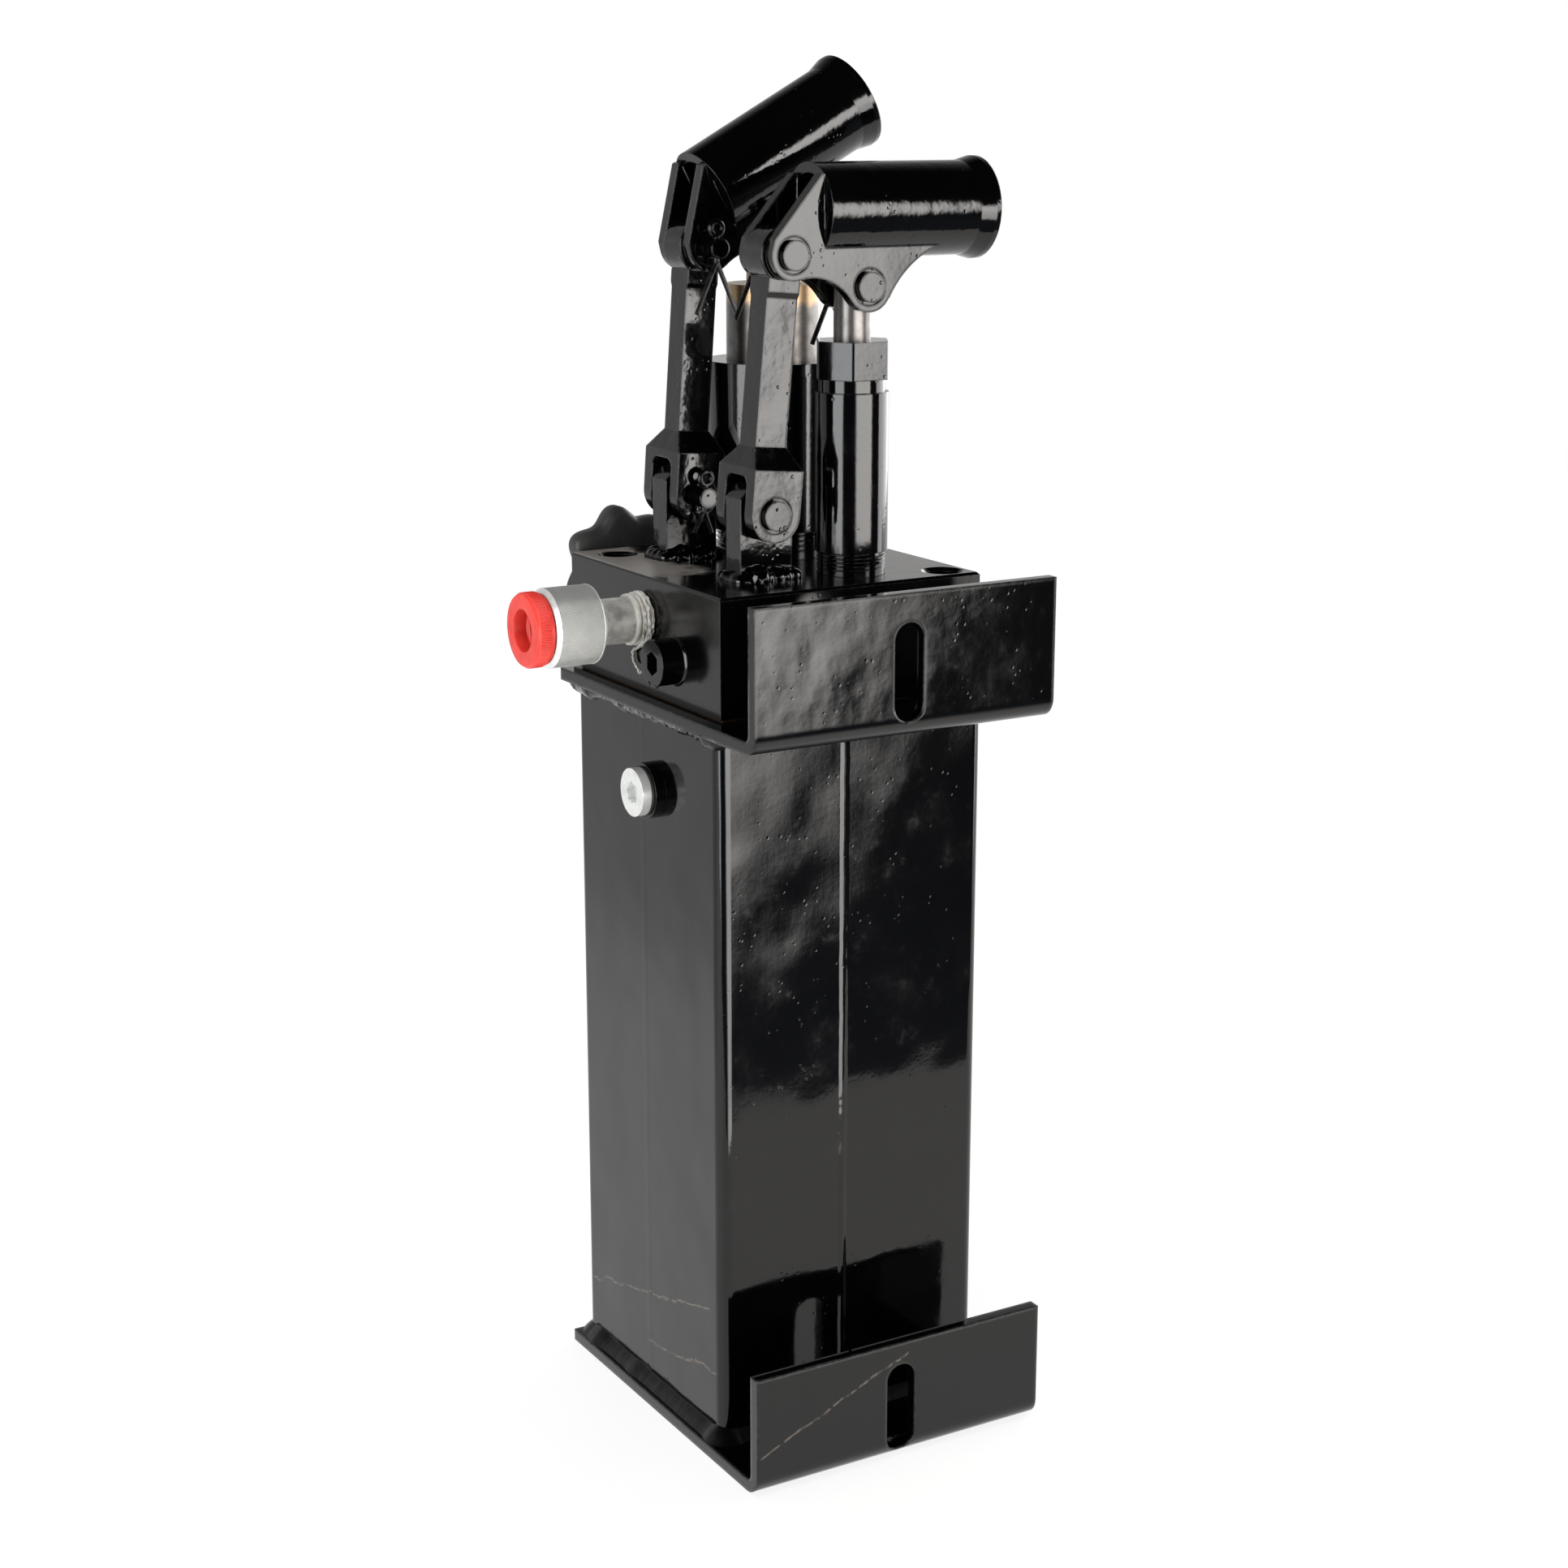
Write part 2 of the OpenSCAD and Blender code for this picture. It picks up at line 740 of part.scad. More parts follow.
module coupler_nipple() {
    color("silver") difference() {
        union() {
            bar_x(nipple_thread_r, block_x0, block_x0 + nipple_thread_len, gallery_y, gallery_z);
            bar_x(nipple_r, coupler_x0 + 2, block_x0, gallery_y, gallery_z);
            bar_x(nipple_spigot_r, coupler_x0 - 6, coupler_x0 + 2 + eps, gallery_y, gallery_z);
        }
        bar_x(nipple_bore_r, coupler_x0 - 7, block_x0 + nipple_thread_len + 1, gallery_y, gallery_z);
    }
}

module thread_sealant() {
    color("lightgray") for (x = [block_x0 - 6.5, block_x0 - 3.6]) difference() {
        bar_x(nipple_r + 0.7, x, x + 2.2, gallery_y, gallery_z);
        bar_x(nipple_r + eps, x - 1, x + 4, gallery_y, gallery_z);
    }
}

module coupler_body() {
    x1 = coupler_x0 + 1.9;
    color("silver") difference() {
        bar_x(coupler_body_r, coupler_body_x0, x1, gallery_y, gallery_z);
        bar_x(coupler_bore_r, coupler_body_x0 - 1, coupler_x0 - 7, gallery_y, gallery_z);
        bar_x(nipple_spigot_r + slack, coupler_x0 - 8, x1 + 1, gallery_y, gallery_z);
        at_locking_holes() cylinder(d = locking_hole_d, h = 20);
    }
}

// Places children at the coupler body's cross holes, +Z outwards
module at_locking_holes() {
    for (i = [0:locking_count - 1]) translate([coupler_body_x0 + locking_at, gallery_y, gallery_z])
        rotate([i * 360 / locking_count, 0, 0]) children();
}

module locking_balls() {
    color("silver") at_locking_holes()
        translate([0, 0, (coupler_bore_r + coupler_body_r) / 2]) sphere(d = locking_ball_d);
}

module sleeve_spring() {
    color("silver") difference() {
        bar_x(sleeve_spring_r, sleeve_x1 - 9.5, sleeve_x1 - 2.2, gallery_y, gallery_z);
        bar_x(sleeve_spring_r - 1, sleeve_x1 - 10, sleeve_x1 - 1, gallery_y, gallery_z);
    }
}

module coupler_sleeve() {
    edge = sleeve_edge;
    r = sleeve_d / 2;
    color("silver") difference() {
        union() {
            bar_x(r, sleeve_x0 + edge, sleeve_x1 - edge, gallery_y, gallery_z);
            translate([sleeve_x0, gallery_y, gallery_z]) rotate([0, 90, 0])
                cylinder(r1 = r - edge, r2 = r, h = edge + eps);
            translate([sleeve_x1 - edge - eps, gallery_y, gallery_z]) rotate([0, 90, 0])
                cylinder(r1 = r, r2 = r - edge, h = edge + eps);
        }
        bar_x(coupler_body_r + pocket_play, sleeve_x0 - 1, sleeve_x1 + 1, gallery_y, gallery_z);
        bar_x(sleeve_groove_r, sleeve_x1 - 15, sleeve_x1 - 2, gallery_y, gallery_z);
    }
}

module dust_plug() {
    color("red") difference() {
        union() {
            bar_x(plug_flange_r, plug_x0, sleeve_x0 - 0.5, gallery_y, gallery_z);
            bar_x(plug_stem_r, sleeve_x0 - 0.6, coupler_x0 - 7.5, gallery_y, gallery_z);
        }
        bar_x(plug_recess_r, plug_x0 - 1, plug_x0 + plug_recess_depth, gallery_y, gallery_z);
        bar_x(plug_core_r, plug_x0 - 1, coupler_x0 - 9.5, gallery_y, gallery_z);
    }
}

// ---- plungers, links, levers and their pins ----

// Plunger pin bore along Y
module rod_pin_bore(y, z) {
    bar_y(pin_d / 2 + pin_fit, y - 10, y + 10, rod_pin_x, z);
}

module near_plunger() {
    z = rod_pin_z(near_tilt);
    r = near_rod_d / 2;
    color("silver") difference() {
        union() {
            bar_z(r, near_base, z, rod_x, near_y);
            intersection() {
                bar_y(r, near_y - r, near_y + r, rod_x, z);
                bar_z(r, z - 1, z + r + 1, rod_x, near_y);
            }
        }
        rod_pin_bore(near_y, z);
    }
}

module far_plunger() {
    z = rod_pin_z(far_tilt);
    eye = 8.6;
    color("silver") difference() {
        union() {
            bar_z(far_rod_d / 2, far_base, z - far_piston_top, rod_x, far_y);
            bar_y(eye, far_y - eye_half_y, far_y + eye_half_y, rod_pin_x, z);
            block_between([rod_pin_x - eye, far_y - eye_half_y, z - far_piston_top - 1],
                [rod_pin_x + eye, far_y + eye_half_y, z]);
        }
        rod_pin_bore(far_y, z);
    }
}

// Link in its own frame: lug pin at the origin, link pin at +Z
module link_shape(eye_shift) {
    shoulder = 17;
    neck = 25;
    slot_top = 14;
    slot_r = 4;
    eye_y_z = link_len - 14;
    difference() {
        intersection() {
            plate_xz(-fork_half_y, fork_half_y) union() {
                circle(fork_half_x);
                polygon([[-fork_half_x, 0], [fork_half_x, 0], [fork_half_x, shoulder],
                    [link_half_x, neck], [link_half_x, link_len - 9], [-link_half_x, link_len - 9],
                    [-link_half_x, neck], [-fork_half_x, shoulder]]);
                translate([0, link_len]) circle(eye_r);
            }
            plate_yz(-20, 20) polygon([
                [-fork_half_y, -20], [fork_half_y, -20], [fork_half_y, shoulder],
                [link_half_y, neck], [link_half_y, eye_y_z - 2], [eye_half_y, eye_y_z],
                [eye_half_y, link_len + 20], [-eye_half_y, link_len + 20],
                [-eye_half_y, eye_y_z], [-link_half_y, eye_y_z - 2],
                [-link_half_y, neck], [-fork_half_y, shoulder]]);
        }
        // Fork slot with round corners
        block_between([-20, -fork_slot, -20], [20, fork_slot, slot_top - slot_r]);
        block_between([-20, -fork_slot + slot_r, 0], [20, fork_slot - slot_r, slot_top]);
        for (s = [-1, 1]) bar_x(slot_r, -20, 20, s * (fork_slot - slot_r), slot_top - slot_r);
        // Lug pin bore and the rings round its heads
        bar_y(pin_d / 2 + pin_grip, -20, 20);
        for (s = [-1, 1]) bar_y(ring_r, s * fork_half_y - ring_t, s * fork_half_y + ring_t);
        // Long eye for the link pin
        for (s = [-1, 1]) bar_y(pin_d / 2 + eye_axial, -20, 20, eye_shift + s * eye_play, link_len);
        block_between([eye_shift - eye_play, -20, link_len - pin_d / 2 - eye_axial],
            [eye_shift + eye_play, 20, link_len + pin_d / 2 + eye_axial]);
    }
}

// Places children of a link's frame
module at_link(y, tilt) {
    translate([lug_x, y, lug_z]) rotate([0, link_angle(tilt), 0]) children();
}

// Places children of a lever's frame: link pin at the origin, socket along +X
module at_lever(y, tilt) {
    translate([link_pin_x(tilt), y, link_pin_z(tilt)]) rotate([0, -tilt, 0]) children();
}

module near_link() {
    color("black") at_link(near_y, near_tilt) link_shape(near_eye_shift);
}

module far_link() {
    color("black") at_link(far_y, far_tilt) link_shape(far_eye_shift);
}

// Place of the plunger pin in a lever's frame
rod_pin_at = [pin_gap * cos(pin_slope), -pin_gap * sin(pin_slope)];

// Side outline of a lever's cheek plate
module cheek_outline() {
    valley_r = 21;
    valley_h = 24.9;
    valley_at = rod_pin_at / 2 + valley_h * [-sin(pin_slope), -cos(pin_slope)];
    sweep_r = 40.2;
    sweep_at = [77.5, -35.8];
    tip = [66.8, 3];
    apex = [13.2, 29.4];
    difference() {
        union() {
            circle(cheek_lobe);
            translate(rod_pin_at) circle(cheek_lobe);
            polygon([[0, 0], [-9.3, 2], [-8.2, 6.2], apex - [1.4, 0], apex, [apex[0], socket_axis],
                [tip[0], socket_axis], tip, [60, -17], rod_pin_at + [8.4, -4.4], rod_pin_at]);
            polygon([[0, 0], rod_pin_at, valley_at]);
        }
        translate(valley_at) circle(valley_r);
        translate(sweep_at) circle(sweep_r);
    }
}

// Both cheek plates of a lever, cut to sit on the socket tube
module cheek_pair() {
    difference() {
        for (s = [-1, 1])
            plate_xz(s * (cheek_in + cheek_t / 2) - cheek_t / 2, s * (cheek_in + cheek_t / 2) + cheek_t / 2)
                cheek_outline();
        bar_x(socket_d / 2, socket_start, socket_end, 0, socket_axis);
        for (p = [[0, 0], rod_pin_at]) {
            bar_y(pin_d / 2 + pin_grip, -20, 20, p[0], p[1]);
            for (s = [-1, 1]) bar_y(ring_r, s * cheek_out - ring_t, s * cheek_out + ring_t, p[0], p[1]);
        }
    }
}

// Socket tube with its flared mouth
module socket_tube() {
    r = socket_d / 2;
    difference() {
        union() {
            bar_x(r, socket_start, socket_end, 0, socket_axis);
            translate([socket_end - rim_len, 0, socket_axis]) rotate([0, 90, 0])
                cylinder(r1 = r, r2 = rim_r, h = rim_len - 2);
            bar_x(rim_r, socket_end - 2 - eps, socket_end, 0, socket_axis);
        }
        bar_x(socket_bore / 2, socket_start - 1, socket_end + 1, 0, socket_axis);
    }
}

// Headed pin through a joint: side is where its head is, half the joint's half width
module headed_pin(side, half) {
    y_head = side * (half - ring_t);
    y_tail = -side * (half + pin_tail);
    cotter_y = -side * (half + cotter_in);
    difference() {
        union() {
            bar_y(pin_d / 2, min(y_head, y_tail), max(y_head, y_tail));
            bar_y(pin_head_d / 2, min(y_head, y_head + side * (pin_head_t + ring_t)),
                max(y_head, y_head + side * (pin_head_t + ring_t)));
        }
        bar_z(cotter_d / 2 + slack, -10, 10, 0, cotter_y);
    }
}

// Split pin through a headed pin: ring eye above, two legs spread below
module cotter(side, half, leg) {
    y = -side * (half + cotter_in);
    r = cotter_d / 2;
    eye = 2.6;
    spread = 24;
    bend_z = -pin_d / 2 - 1;
    bar_z(r, bend_z, pin_d / 2 + 1, 0, y);
    translate([0, y, pin_d / 2 + 1 + eye]) rotate([90, 0, 0])
        rotate_extrude() translate([eye, 0]) circle(r);
    for (s = [-1, 1]) translate([0, y, bend_z]) rotate([0, s * spread, 0])
        translate([0, 0, -leg]) cylinder(r = r * 0.8, h = leg);
}

module near_lug_pin() {
    color("black") at_link(near_y, near_tilt) headed_pin(-1, fork_half_y);
}

module far_lug_pin() {
    color("black") at_link(far_y, far_tilt) headed_pin(1, fork_half_y);
}

module near_link_pin() {
    color("black") at_lever(near_y, near_tilt) headed_pin(-1, cheek_out);
}

module far_link_pin() {
    color("black") at_lever(far_y, far_tilt) rotate([0, far_tilt, 0]) headed_pin(1, cheek_out);
}

module near_rod_pin() {
    color("black") at_lever(near_y, near_tilt)
        translate([rod_pin_at[0], 0, rod_pin_at[1]]) headed_pin(-1, cheek_out);
}

module far_rod_pin() {
    color("black") at_lever(far_y, far_tilt)
        translate([rod_pin_at[0], 0, rod_pin_at[1]]) rotate([0, far_tilt, 0])
            headed_pin(1, cheek_out);
}

module near_cheeks() {
    color("black") at_lever(near_y, near_tilt) cheek_pair();
}

module far_cheeks() {
    color("black") at_lever(far_y, far_tilt) cheek_pair();
}

module near_socket() {
    color("black") at_lever(near_y, near_tilt) socket_tube();
}

module far_socket() {
    color("black") at_lever(far_y, far_tilt) socket_tube();
}

module near_lug_cotter() {
    color("black") at_link(near_y, near_tilt) cotter(-1, fork_half_y, 10);
}

module far_lug_cotter() {
    color("black") at_link(far_y, far_tilt) cotter(1, fork_half_y, 10);
}

module near_lever_cotters() {
    color("black") at_lever(near_y, near_tilt) {
        cotter(-1, cheek_out, 22);
        translate([rod_pin_at[0], 0, rod_pin_at[1]]) cotter(-1, cheek_out, 20);
    }
}

module far_lever_cotters() {
    color("black") at_lever(far_y, far_tilt) {
        rotate([0, far_tilt, 0]) cotter(1, cheek_out, 22);
        translate([rod_pin_at[0], 0, rod_pin_at[1]]) rotate([0, far_tilt, 0]) cotter(1, cheek_out, 9);
    }
}

lower_bracket();
upper_bracket();
tank_shell();
foot_weld();
top_weld();
filler_boss();
filler_plug();
filler_seal();
block_gasket();
pump_block();
block_screws();
weld_nuts();
near_lug();
far_lug();
lug_welds();
near_barrel();
far_barrel();
near_rod_seal();
far_piston_seal();
relief_plug();
relief_spring();
relief_ball();
coupler_nipple();
thread_sealant();
coupler_body();
coupler_sleeve();
sleeve_spring();
locking_balls();
dust_plug();
release_spindle();
star_knob();
spindle_seal();
release_ball();
suction_pipes();
suction_strainers();
near_inlet_ball();
near_outlet_ball();
far_inlet_ball();
far_outlet_ball();
outlet_springs();
outlet_plugs();
near_plunger();
far_plunger();
near_link();
far_link();
near_lug_pin();
near_link_pin();
near_rod_pin();
far_lug_pin();
far_link_pin();
far_rod_pin();
near_cheeks();
near_socket();
far_cheeks();
far_socket();
near_lug_cotter();
near_lever_cotters();
far_lug_cotter();
far_lever_cotters();
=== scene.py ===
# %% [markdown]
# # A two-lever hydraulic hand pump
#
# This lesson dresses a finished CAD model of a hand pump. The CAD frame gives every size and
# every joint, so nothing here is measured again. What is left is what a maker sees and feels:
# thick glossy enamel, weld beads, knurling, threads, springs and bright plunger steel.
# Each cell makes one of these, and says what it is on the real pump.

import math

import bpy
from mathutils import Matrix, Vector, noise


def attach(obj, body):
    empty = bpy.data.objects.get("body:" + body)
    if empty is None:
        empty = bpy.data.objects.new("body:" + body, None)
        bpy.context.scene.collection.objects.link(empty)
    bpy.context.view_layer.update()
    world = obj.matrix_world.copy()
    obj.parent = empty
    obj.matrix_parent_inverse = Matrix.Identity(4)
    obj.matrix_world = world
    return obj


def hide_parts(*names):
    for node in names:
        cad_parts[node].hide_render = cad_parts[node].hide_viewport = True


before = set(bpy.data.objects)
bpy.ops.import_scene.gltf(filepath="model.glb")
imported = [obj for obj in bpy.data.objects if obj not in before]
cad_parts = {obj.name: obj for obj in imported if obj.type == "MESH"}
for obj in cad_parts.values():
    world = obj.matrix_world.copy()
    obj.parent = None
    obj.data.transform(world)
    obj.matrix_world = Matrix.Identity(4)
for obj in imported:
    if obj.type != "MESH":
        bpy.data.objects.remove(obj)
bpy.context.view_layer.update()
MM = 0.001

# %% [markdown]
# ## The camera
#
# The pump is seen from in front and a little to the left, from above its middle. A long lens
# keeps the tank's edges nearly parallel. The place and the turn of the camera were solved from
# the corners of the tank and its brackets, so they are plain numbers here.

# %% Camera
PITCH_DOWN = 14.39
TURN_RIGHT = 30.44
lens = bpy.data.cameras.new("studio_camera")
lens.sensor_width = 36.0
lens.lens = 61.26
camera = bpy.data.objects.new("studio_camera", lens)
camera.location = (-0.52935, -0.90710, 0.52528)
camera.rotation_euler = (math.radians(90 - PITCH_DOWN), 0.0, math.radians(-TURN_RIGHT))
bpy.context.scene.collection.objects.link(camera)
bpy.context.scene.camera = camera
bpy.context.scene.view_settings.view_transform = "Standard"
print("camera at", tuple(round(v, 3) for v in camera.location))

# %% [markdown]
# ## Shader sums as plain Python
#
# A finish is a sum of small effects: a grain here, a wave there, a little more shine along an
# edge. Written as nodes this is a long chain that nobody can read. So one small class wraps a
# socket and turns Python's operators into Math nodes. The reflected forms matter too, because
# `1 - mask` starts with a plain number. Every other node comes from one method, `node`.


# %% Signal and recipe
class Signal:
    """One output of a node, which takes part in sums."""

    def __init__(self, recipe, socket):
        self.recipe = recipe
        self.socket = socket

    def sum_with(self, operation, *terms):
        return self.recipe.node("ShaderNodeMath", {"operation": operation}, dict(enumerate(terms)))

    def __add__(self, other):
        return self.sum_with("ADD", self, other)

    def __radd__(self, other):
        return self.sum_with("ADD", other, self)

    def __sub__(self, other):
        return self.sum_with("SUBTRACT", self, other)

    def __rsub__(self, other):
        return self.sum_with("SUBTRACT", other, self)

    def __mul__(self, other):
        return self.sum_with("MULTIPLY", self, other)

    def __rmul__(self, other):
        return self.sum_with("MULTIPLY", other, self)

    def __truediv__(self, other):
        return self.sum_with("DIVIDE", self, other)

    def __abs__(self):
        return self.sum_with("ABSOLUTE", self)


class Recipe:
    """A node tree under construction, for a finish or for the light of the room."""

    def __init__(self, tree):
        self.tree = tree
        tree.nodes.clear()

    def node(self, kind, settings=None, inputs=None, output=0):
        """Adds a node. Settings go in first, then values or signals by socket."""
        made = self.tree.nodes.new(kind)
        for name, value in (settings or {}).items():
            if name == "stops":
                ramp = made.color_ramp.elements
                while len(ramp) < len(value):
                    ramp.new(1.0)
                for stop, (place, colour) in zip(ramp, value):
                    stop.position = place
                    stop.color = (*colour, 1.0)
            else:
                setattr(made, name, value)
        for name, value in (inputs or {}).items():
            if isinstance(value, Signal):
                self.tree.links.new(value.socket, made.inputs[name])
            else:
                made.inputs[name].default_value = value
        return Signal(self, made.outputs[output]) if made.outputs else made

    def place(self):
        """Where a point lies on the pump, in millimetres."""
        where = self.node("ShaderNodeTexCoord", output="Object")
        return self.node(
            "ShaderNodeVectorMath", {"operation": "SCALE"}, {0: where, "Scale": 1 / MM}
        )

    def axes(self, where):
        """The three coordinates of a place as three signals."""
        return [self.node("ShaderNodeSeparateXYZ", inputs={0: where}, output=i) for i in range(3)]

    def stretch(self, where, by):
        """The place with each axis scaled, so that a grain runs along one of them."""
        return self.node("ShaderNodeVectorMath", {"operation": "MULTIPLY"}, {0: where, 1: by})

    def grain(self, where, size, detail=2.0, rough=0.5):
        """Soft random variation whose patches are about size millimetres across."""
        return self.node(
            "ShaderNodeTexNoise",
            inputs={"Vector": where, "Scale": 1 / size, "Detail": detail, "Roughness": rough},
        )

    def specks(self, where, size, low, high):
        """1 in the middle of small round spots about size millimetres apart, else 0."""
        away = self.node("ShaderNodeTexVoronoi", inputs={"Vector": where, "Scale": 1 / size})
        return self.ease(away, high, low)

    def ease(self, value, low, high, to_low=0.0, to_high=1.0):
        """A soft step from to_low at low to to_high at high."""
        return self.node(
            "ShaderNodeMapRange",
            {"interpolation_type": "SMOOTHSTEP"},
            {0: value, 1: low, 2: high, 3: to_low, 4: to_high},
        )

    def window(self, value, low, high, soft):
        """1 between low and high, 0 outside, with soft ends."""
        return self.ease(value, low - soft, low) * self.ease(value, high + soft, high)

    def blend(self, factor, first, second):
        """A colour between two others."""
        pair = [c if isinstance(c, Signal) else (*c, 1.0) for c in (first, second)]
        return self.node(
            "ShaderNodeMix", {"data_type": "RGBA"}, {0: factor, 6: pair[0], 7: pair[1]}, output=2
        )

    def relief(self, height, normal=None):
        """A normal for a height in millimetres."""
        inputs = {"Height": height, "Distance": MM, "Strength": 1.0}
        if normal is not None:
            inputs["Normal"] = normal
        return self.node("ShaderNodeBump", inputs=inputs)

    def rounded(self, radius):
        """The normal as if sharp edges were rounded to that radius in millimetres."""
        return self.node("ShaderNodeBevel", {"samples": 4}, {"Radius": radius * MM})

    def edges(self, soft_normal):
        """1 near sharp edges, 0 on open faces."""
        flat = self.node("ShaderNodeNewGeometry", output="Normal")
        same = self.node(
            "ShaderNodeVectorMath",
            {"operation": "DOT_PRODUCT"},
            {0: soft_normal, 1: flat},
            output="Value",
        )
        return self.ease(1 - same, 0.01, 0.12)


def finish(name, paint):
    """Makes a material. paint(recipe) returns the values of the shader's sockets by name."""
    material = bpy.data.materials.new(name)
    material.use_nodes = True
    recipe = Recipe(material.node_tree)
    shader = recipe.node("ShaderNodeBsdfPrincipled", inputs=paint(recipe))
    recipe.node("ShaderNodeOutputMaterial", inputs={"Surface": shader})
    print("finish", name, "with", len(material.node_tree.nodes), "nodes")
    return material


# %% [markdown]
# ## Black enamel
#
# Nearly all of the pump is dipped or sprayed in one thick coat of gloss enamel, after welding
# and after assembly. Such a coat is black and smooth, but it is never flat. It has orange peel
# a few millimetres across, slow waves where it ran, small pits over scale, and it rounds every
# edge. Its gloss shows all of that, so most of the work is in the height and little in the
# colour. One function makes the coat, and its arguments say what metal lies under it.


# %% Enamel
BROWN_DIRT, GREY_DUST = (0.14, 0.115, 0.09), (0.26, 0.24, 0.22)


def enamel(name, peel, lumps, waves, pits, shine, edge=0.5, marks=None, dirt_tint=BROWN_DIRT):
    """Gloss black coat. Heights are in millimetres. marks(recipe, where) adds height and dirt."""

    def paint(r):
        where = r.place()
        smear = r.grain(where, 28.0, 5.0, 0.65)
        haze = r.grain(where, 7.0, 4.0, 0.6)
        pit = r.specks(where, 3.4, 0.10, 0.24) * r.ease(r.grain(where, 9.0), 0.5, 0.62)
        dust = r.specks(where, 5.3, 0.015, 0.035)
        height = (
            r.grain(where, 1.9, 1.0) * peel
            + r.grain(where, 6.5, 2.0) * lumps
            + r.grain(where, 33.0, 1.0) * waves
            - pit * pits
        )
        soft_normal = r.rounded(edge)
        edge_wear_and_highlight = r.edges(soft_normal) * r.ease(r.grain(where, 2.6, 3.0), 0.38, 0.66)
        colour = r.blend(smear, (0.0004, 0.0004, 0.0005), (0.0014, 0.0014, 0.0017))
        rough = shine + r.ease(smear, 0.45, 0.75) * 0.07 + r.ease(haze, 0.55, 0.8) * 0.05
        if marks:
            extra_height, dirt = marks(r, where)
            height = height + extra_height
            colour = r.blend(dirt, colour, dirt_tint)
            rough = rough + dirt * 0.3
        colour = r.blend(dust * 0.12, colour, (0.22, 0.21, 0.20))
        # Pale colour along sharp edges: partly thinner paint, mostly a painted highlight.
        colour = r.blend(edge_wear_and_highlight * 0.25, colour, (0.10, 0.10, 0.105))
        return {
            "Base Color": colour,
            "Roughness": rough + edge_wear_and_highlight * 0.12,
            "Normal": r.relief(height, soft_normal),
            "IOR": 1.46,
        }

    return finish(name, paint)


# %% [markdown]
# The tank is a rolled and welded tube, and its seam shows as a faint ridge up the front face,
# a little left of the middle. The left face has its own fainter line, where the strip was bent.
# Low on the left face two thin wavy scratches are filled with brown dirt. The lower bracket
# has a longer one that climbs across its flange. Each scratch is the place where a height
# above a sloping line is nearly zero, and a grain makes it wander and break up.


# %% Marks on the tank and the brackets
def scratch(r, along, up, start, end, wander):
    """A thin wavy line between two points of a face, 1 on the line."""
    (a0, u0), (a1, u1) = start, end
    slope = (u1 - u0) / (a1 - a0)
    line = up - (along - a0) * slope - u0
    line = line + (r.grain(r.place(), 13.0, 3.0, 0.6) - 0.5) * wander
    broken = r.ease(r.grain(r.place(), 3.1, 3.0, 0.7), 0.36, 0.58)
    span = r.window(along, min(a0, a1), max(a0, a1), 2.0)
    return r.ease(abs(line), 0.75, 0.15) * broken * span


def tank_marks(r, where):
    x, y, z = r.axes(where)
    front = r.ease(y, -59.0, -59.6)
    left = r.ease(x, -59.0, -59.6)
    wobble = (r.grain(where, 9.0) - 0.5) * 0.8
    seam = r.ease(abs(x + 4.3 + wobble), 2.2, 0.3) * front
    bend = r.ease(abs(y - 2.0), 3.0, 0.3) * left
    streaks = r.grain(r.stretch(where, (1.0, 1.0, 0.06)), 2.4, 2.0) * 0.004
    dirt = scratch(r, y, z, (52.7, 32.2), (-48.8, 58.3), 9.0) * left
    dirt = dirt + scratch(r, y, z, (2.2, 22.9), (-53.9, 33.3), 7.0) * left
    return seam * 0.30 + bend * 0.03 + streaks, dirt * 0.8


def bracket_marks(r, where):
    x, y, z = r.axes(where)
    flange = r.ease(y, -97.0, -97.8)
    dirt = scratch(r, x, z, (-63.0, 17.3), (2.0, 44.5), 4.0) * flange
    hammered = r.grain(r.stretch(where, (1.0, 1.0, 0.7)), 13.0, 1.0) * r.ease(x, 60.0, -40.0)
    return hammered * 0.20 * flange + dirt * -0.02, dirt * 0.75


def block_marks(r, where):
    """Dry dusty spray on the back left part of the block's top."""
    x, y, z = r.axes(where)
    ragged_x = x + (r.grain(where, 15.0, 4.0, 0.6) - 0.5) * 26.0
    ragged_y = y + (r.grain(where, 19.0, 4.0, 0.6) - 0.5) * 40.0
    dry = r.ease(z, 346.4, 346.9) * r.ease(ragged_x, -31.0, -38.0) * r.ease(ragged_y, -12.0, 2.0)
    return dry * 0.01, dry * (0.45 + r.grain(where, 3.0, 3.0) * 0.35)


tank_enamel = enamel("tank_enamel", 0.006, 0.018, 0.50, 0.02, 0.06, 0.6, tank_marks)
plate_enamel = enamel("plate_enamel", 0.006, 0.030, 0.22, 0.02, 0.06, 2.0, bracket_marks)
block_enamel = enamel("block_enamel", 0.008, 0.014, 0.05, 0.02, 0.15, 0.5, block_marks, GREY_DUST)
turned_enamel = enamel("turned_enamel", 0.012, 0.020, 0.06, 0.03, 0.08, 0.5)
socket_enamel = enamel("socket_enamel", 0.016, 0.130, 0.12, 0.06, 0.07, 0.6)
pressed_enamel = enamel("pressed_enamel", 0.012, 0.045, 0.35, 0.08, 0.08, 1.2)
forged_enamel = enamel("forged_enamel", 0.020, 0.120, 0.80, 0.10, 0.08, 1.2)
weld_enamel = enamel("weld_enamel", 0.020, 0.120, 0.10, 0.08, 0.07, 0.4)
fillet_enamel = enamel("fillet_enamel", 0.010, 0.060, 0.10, 0.04, 0.34, 0.4)
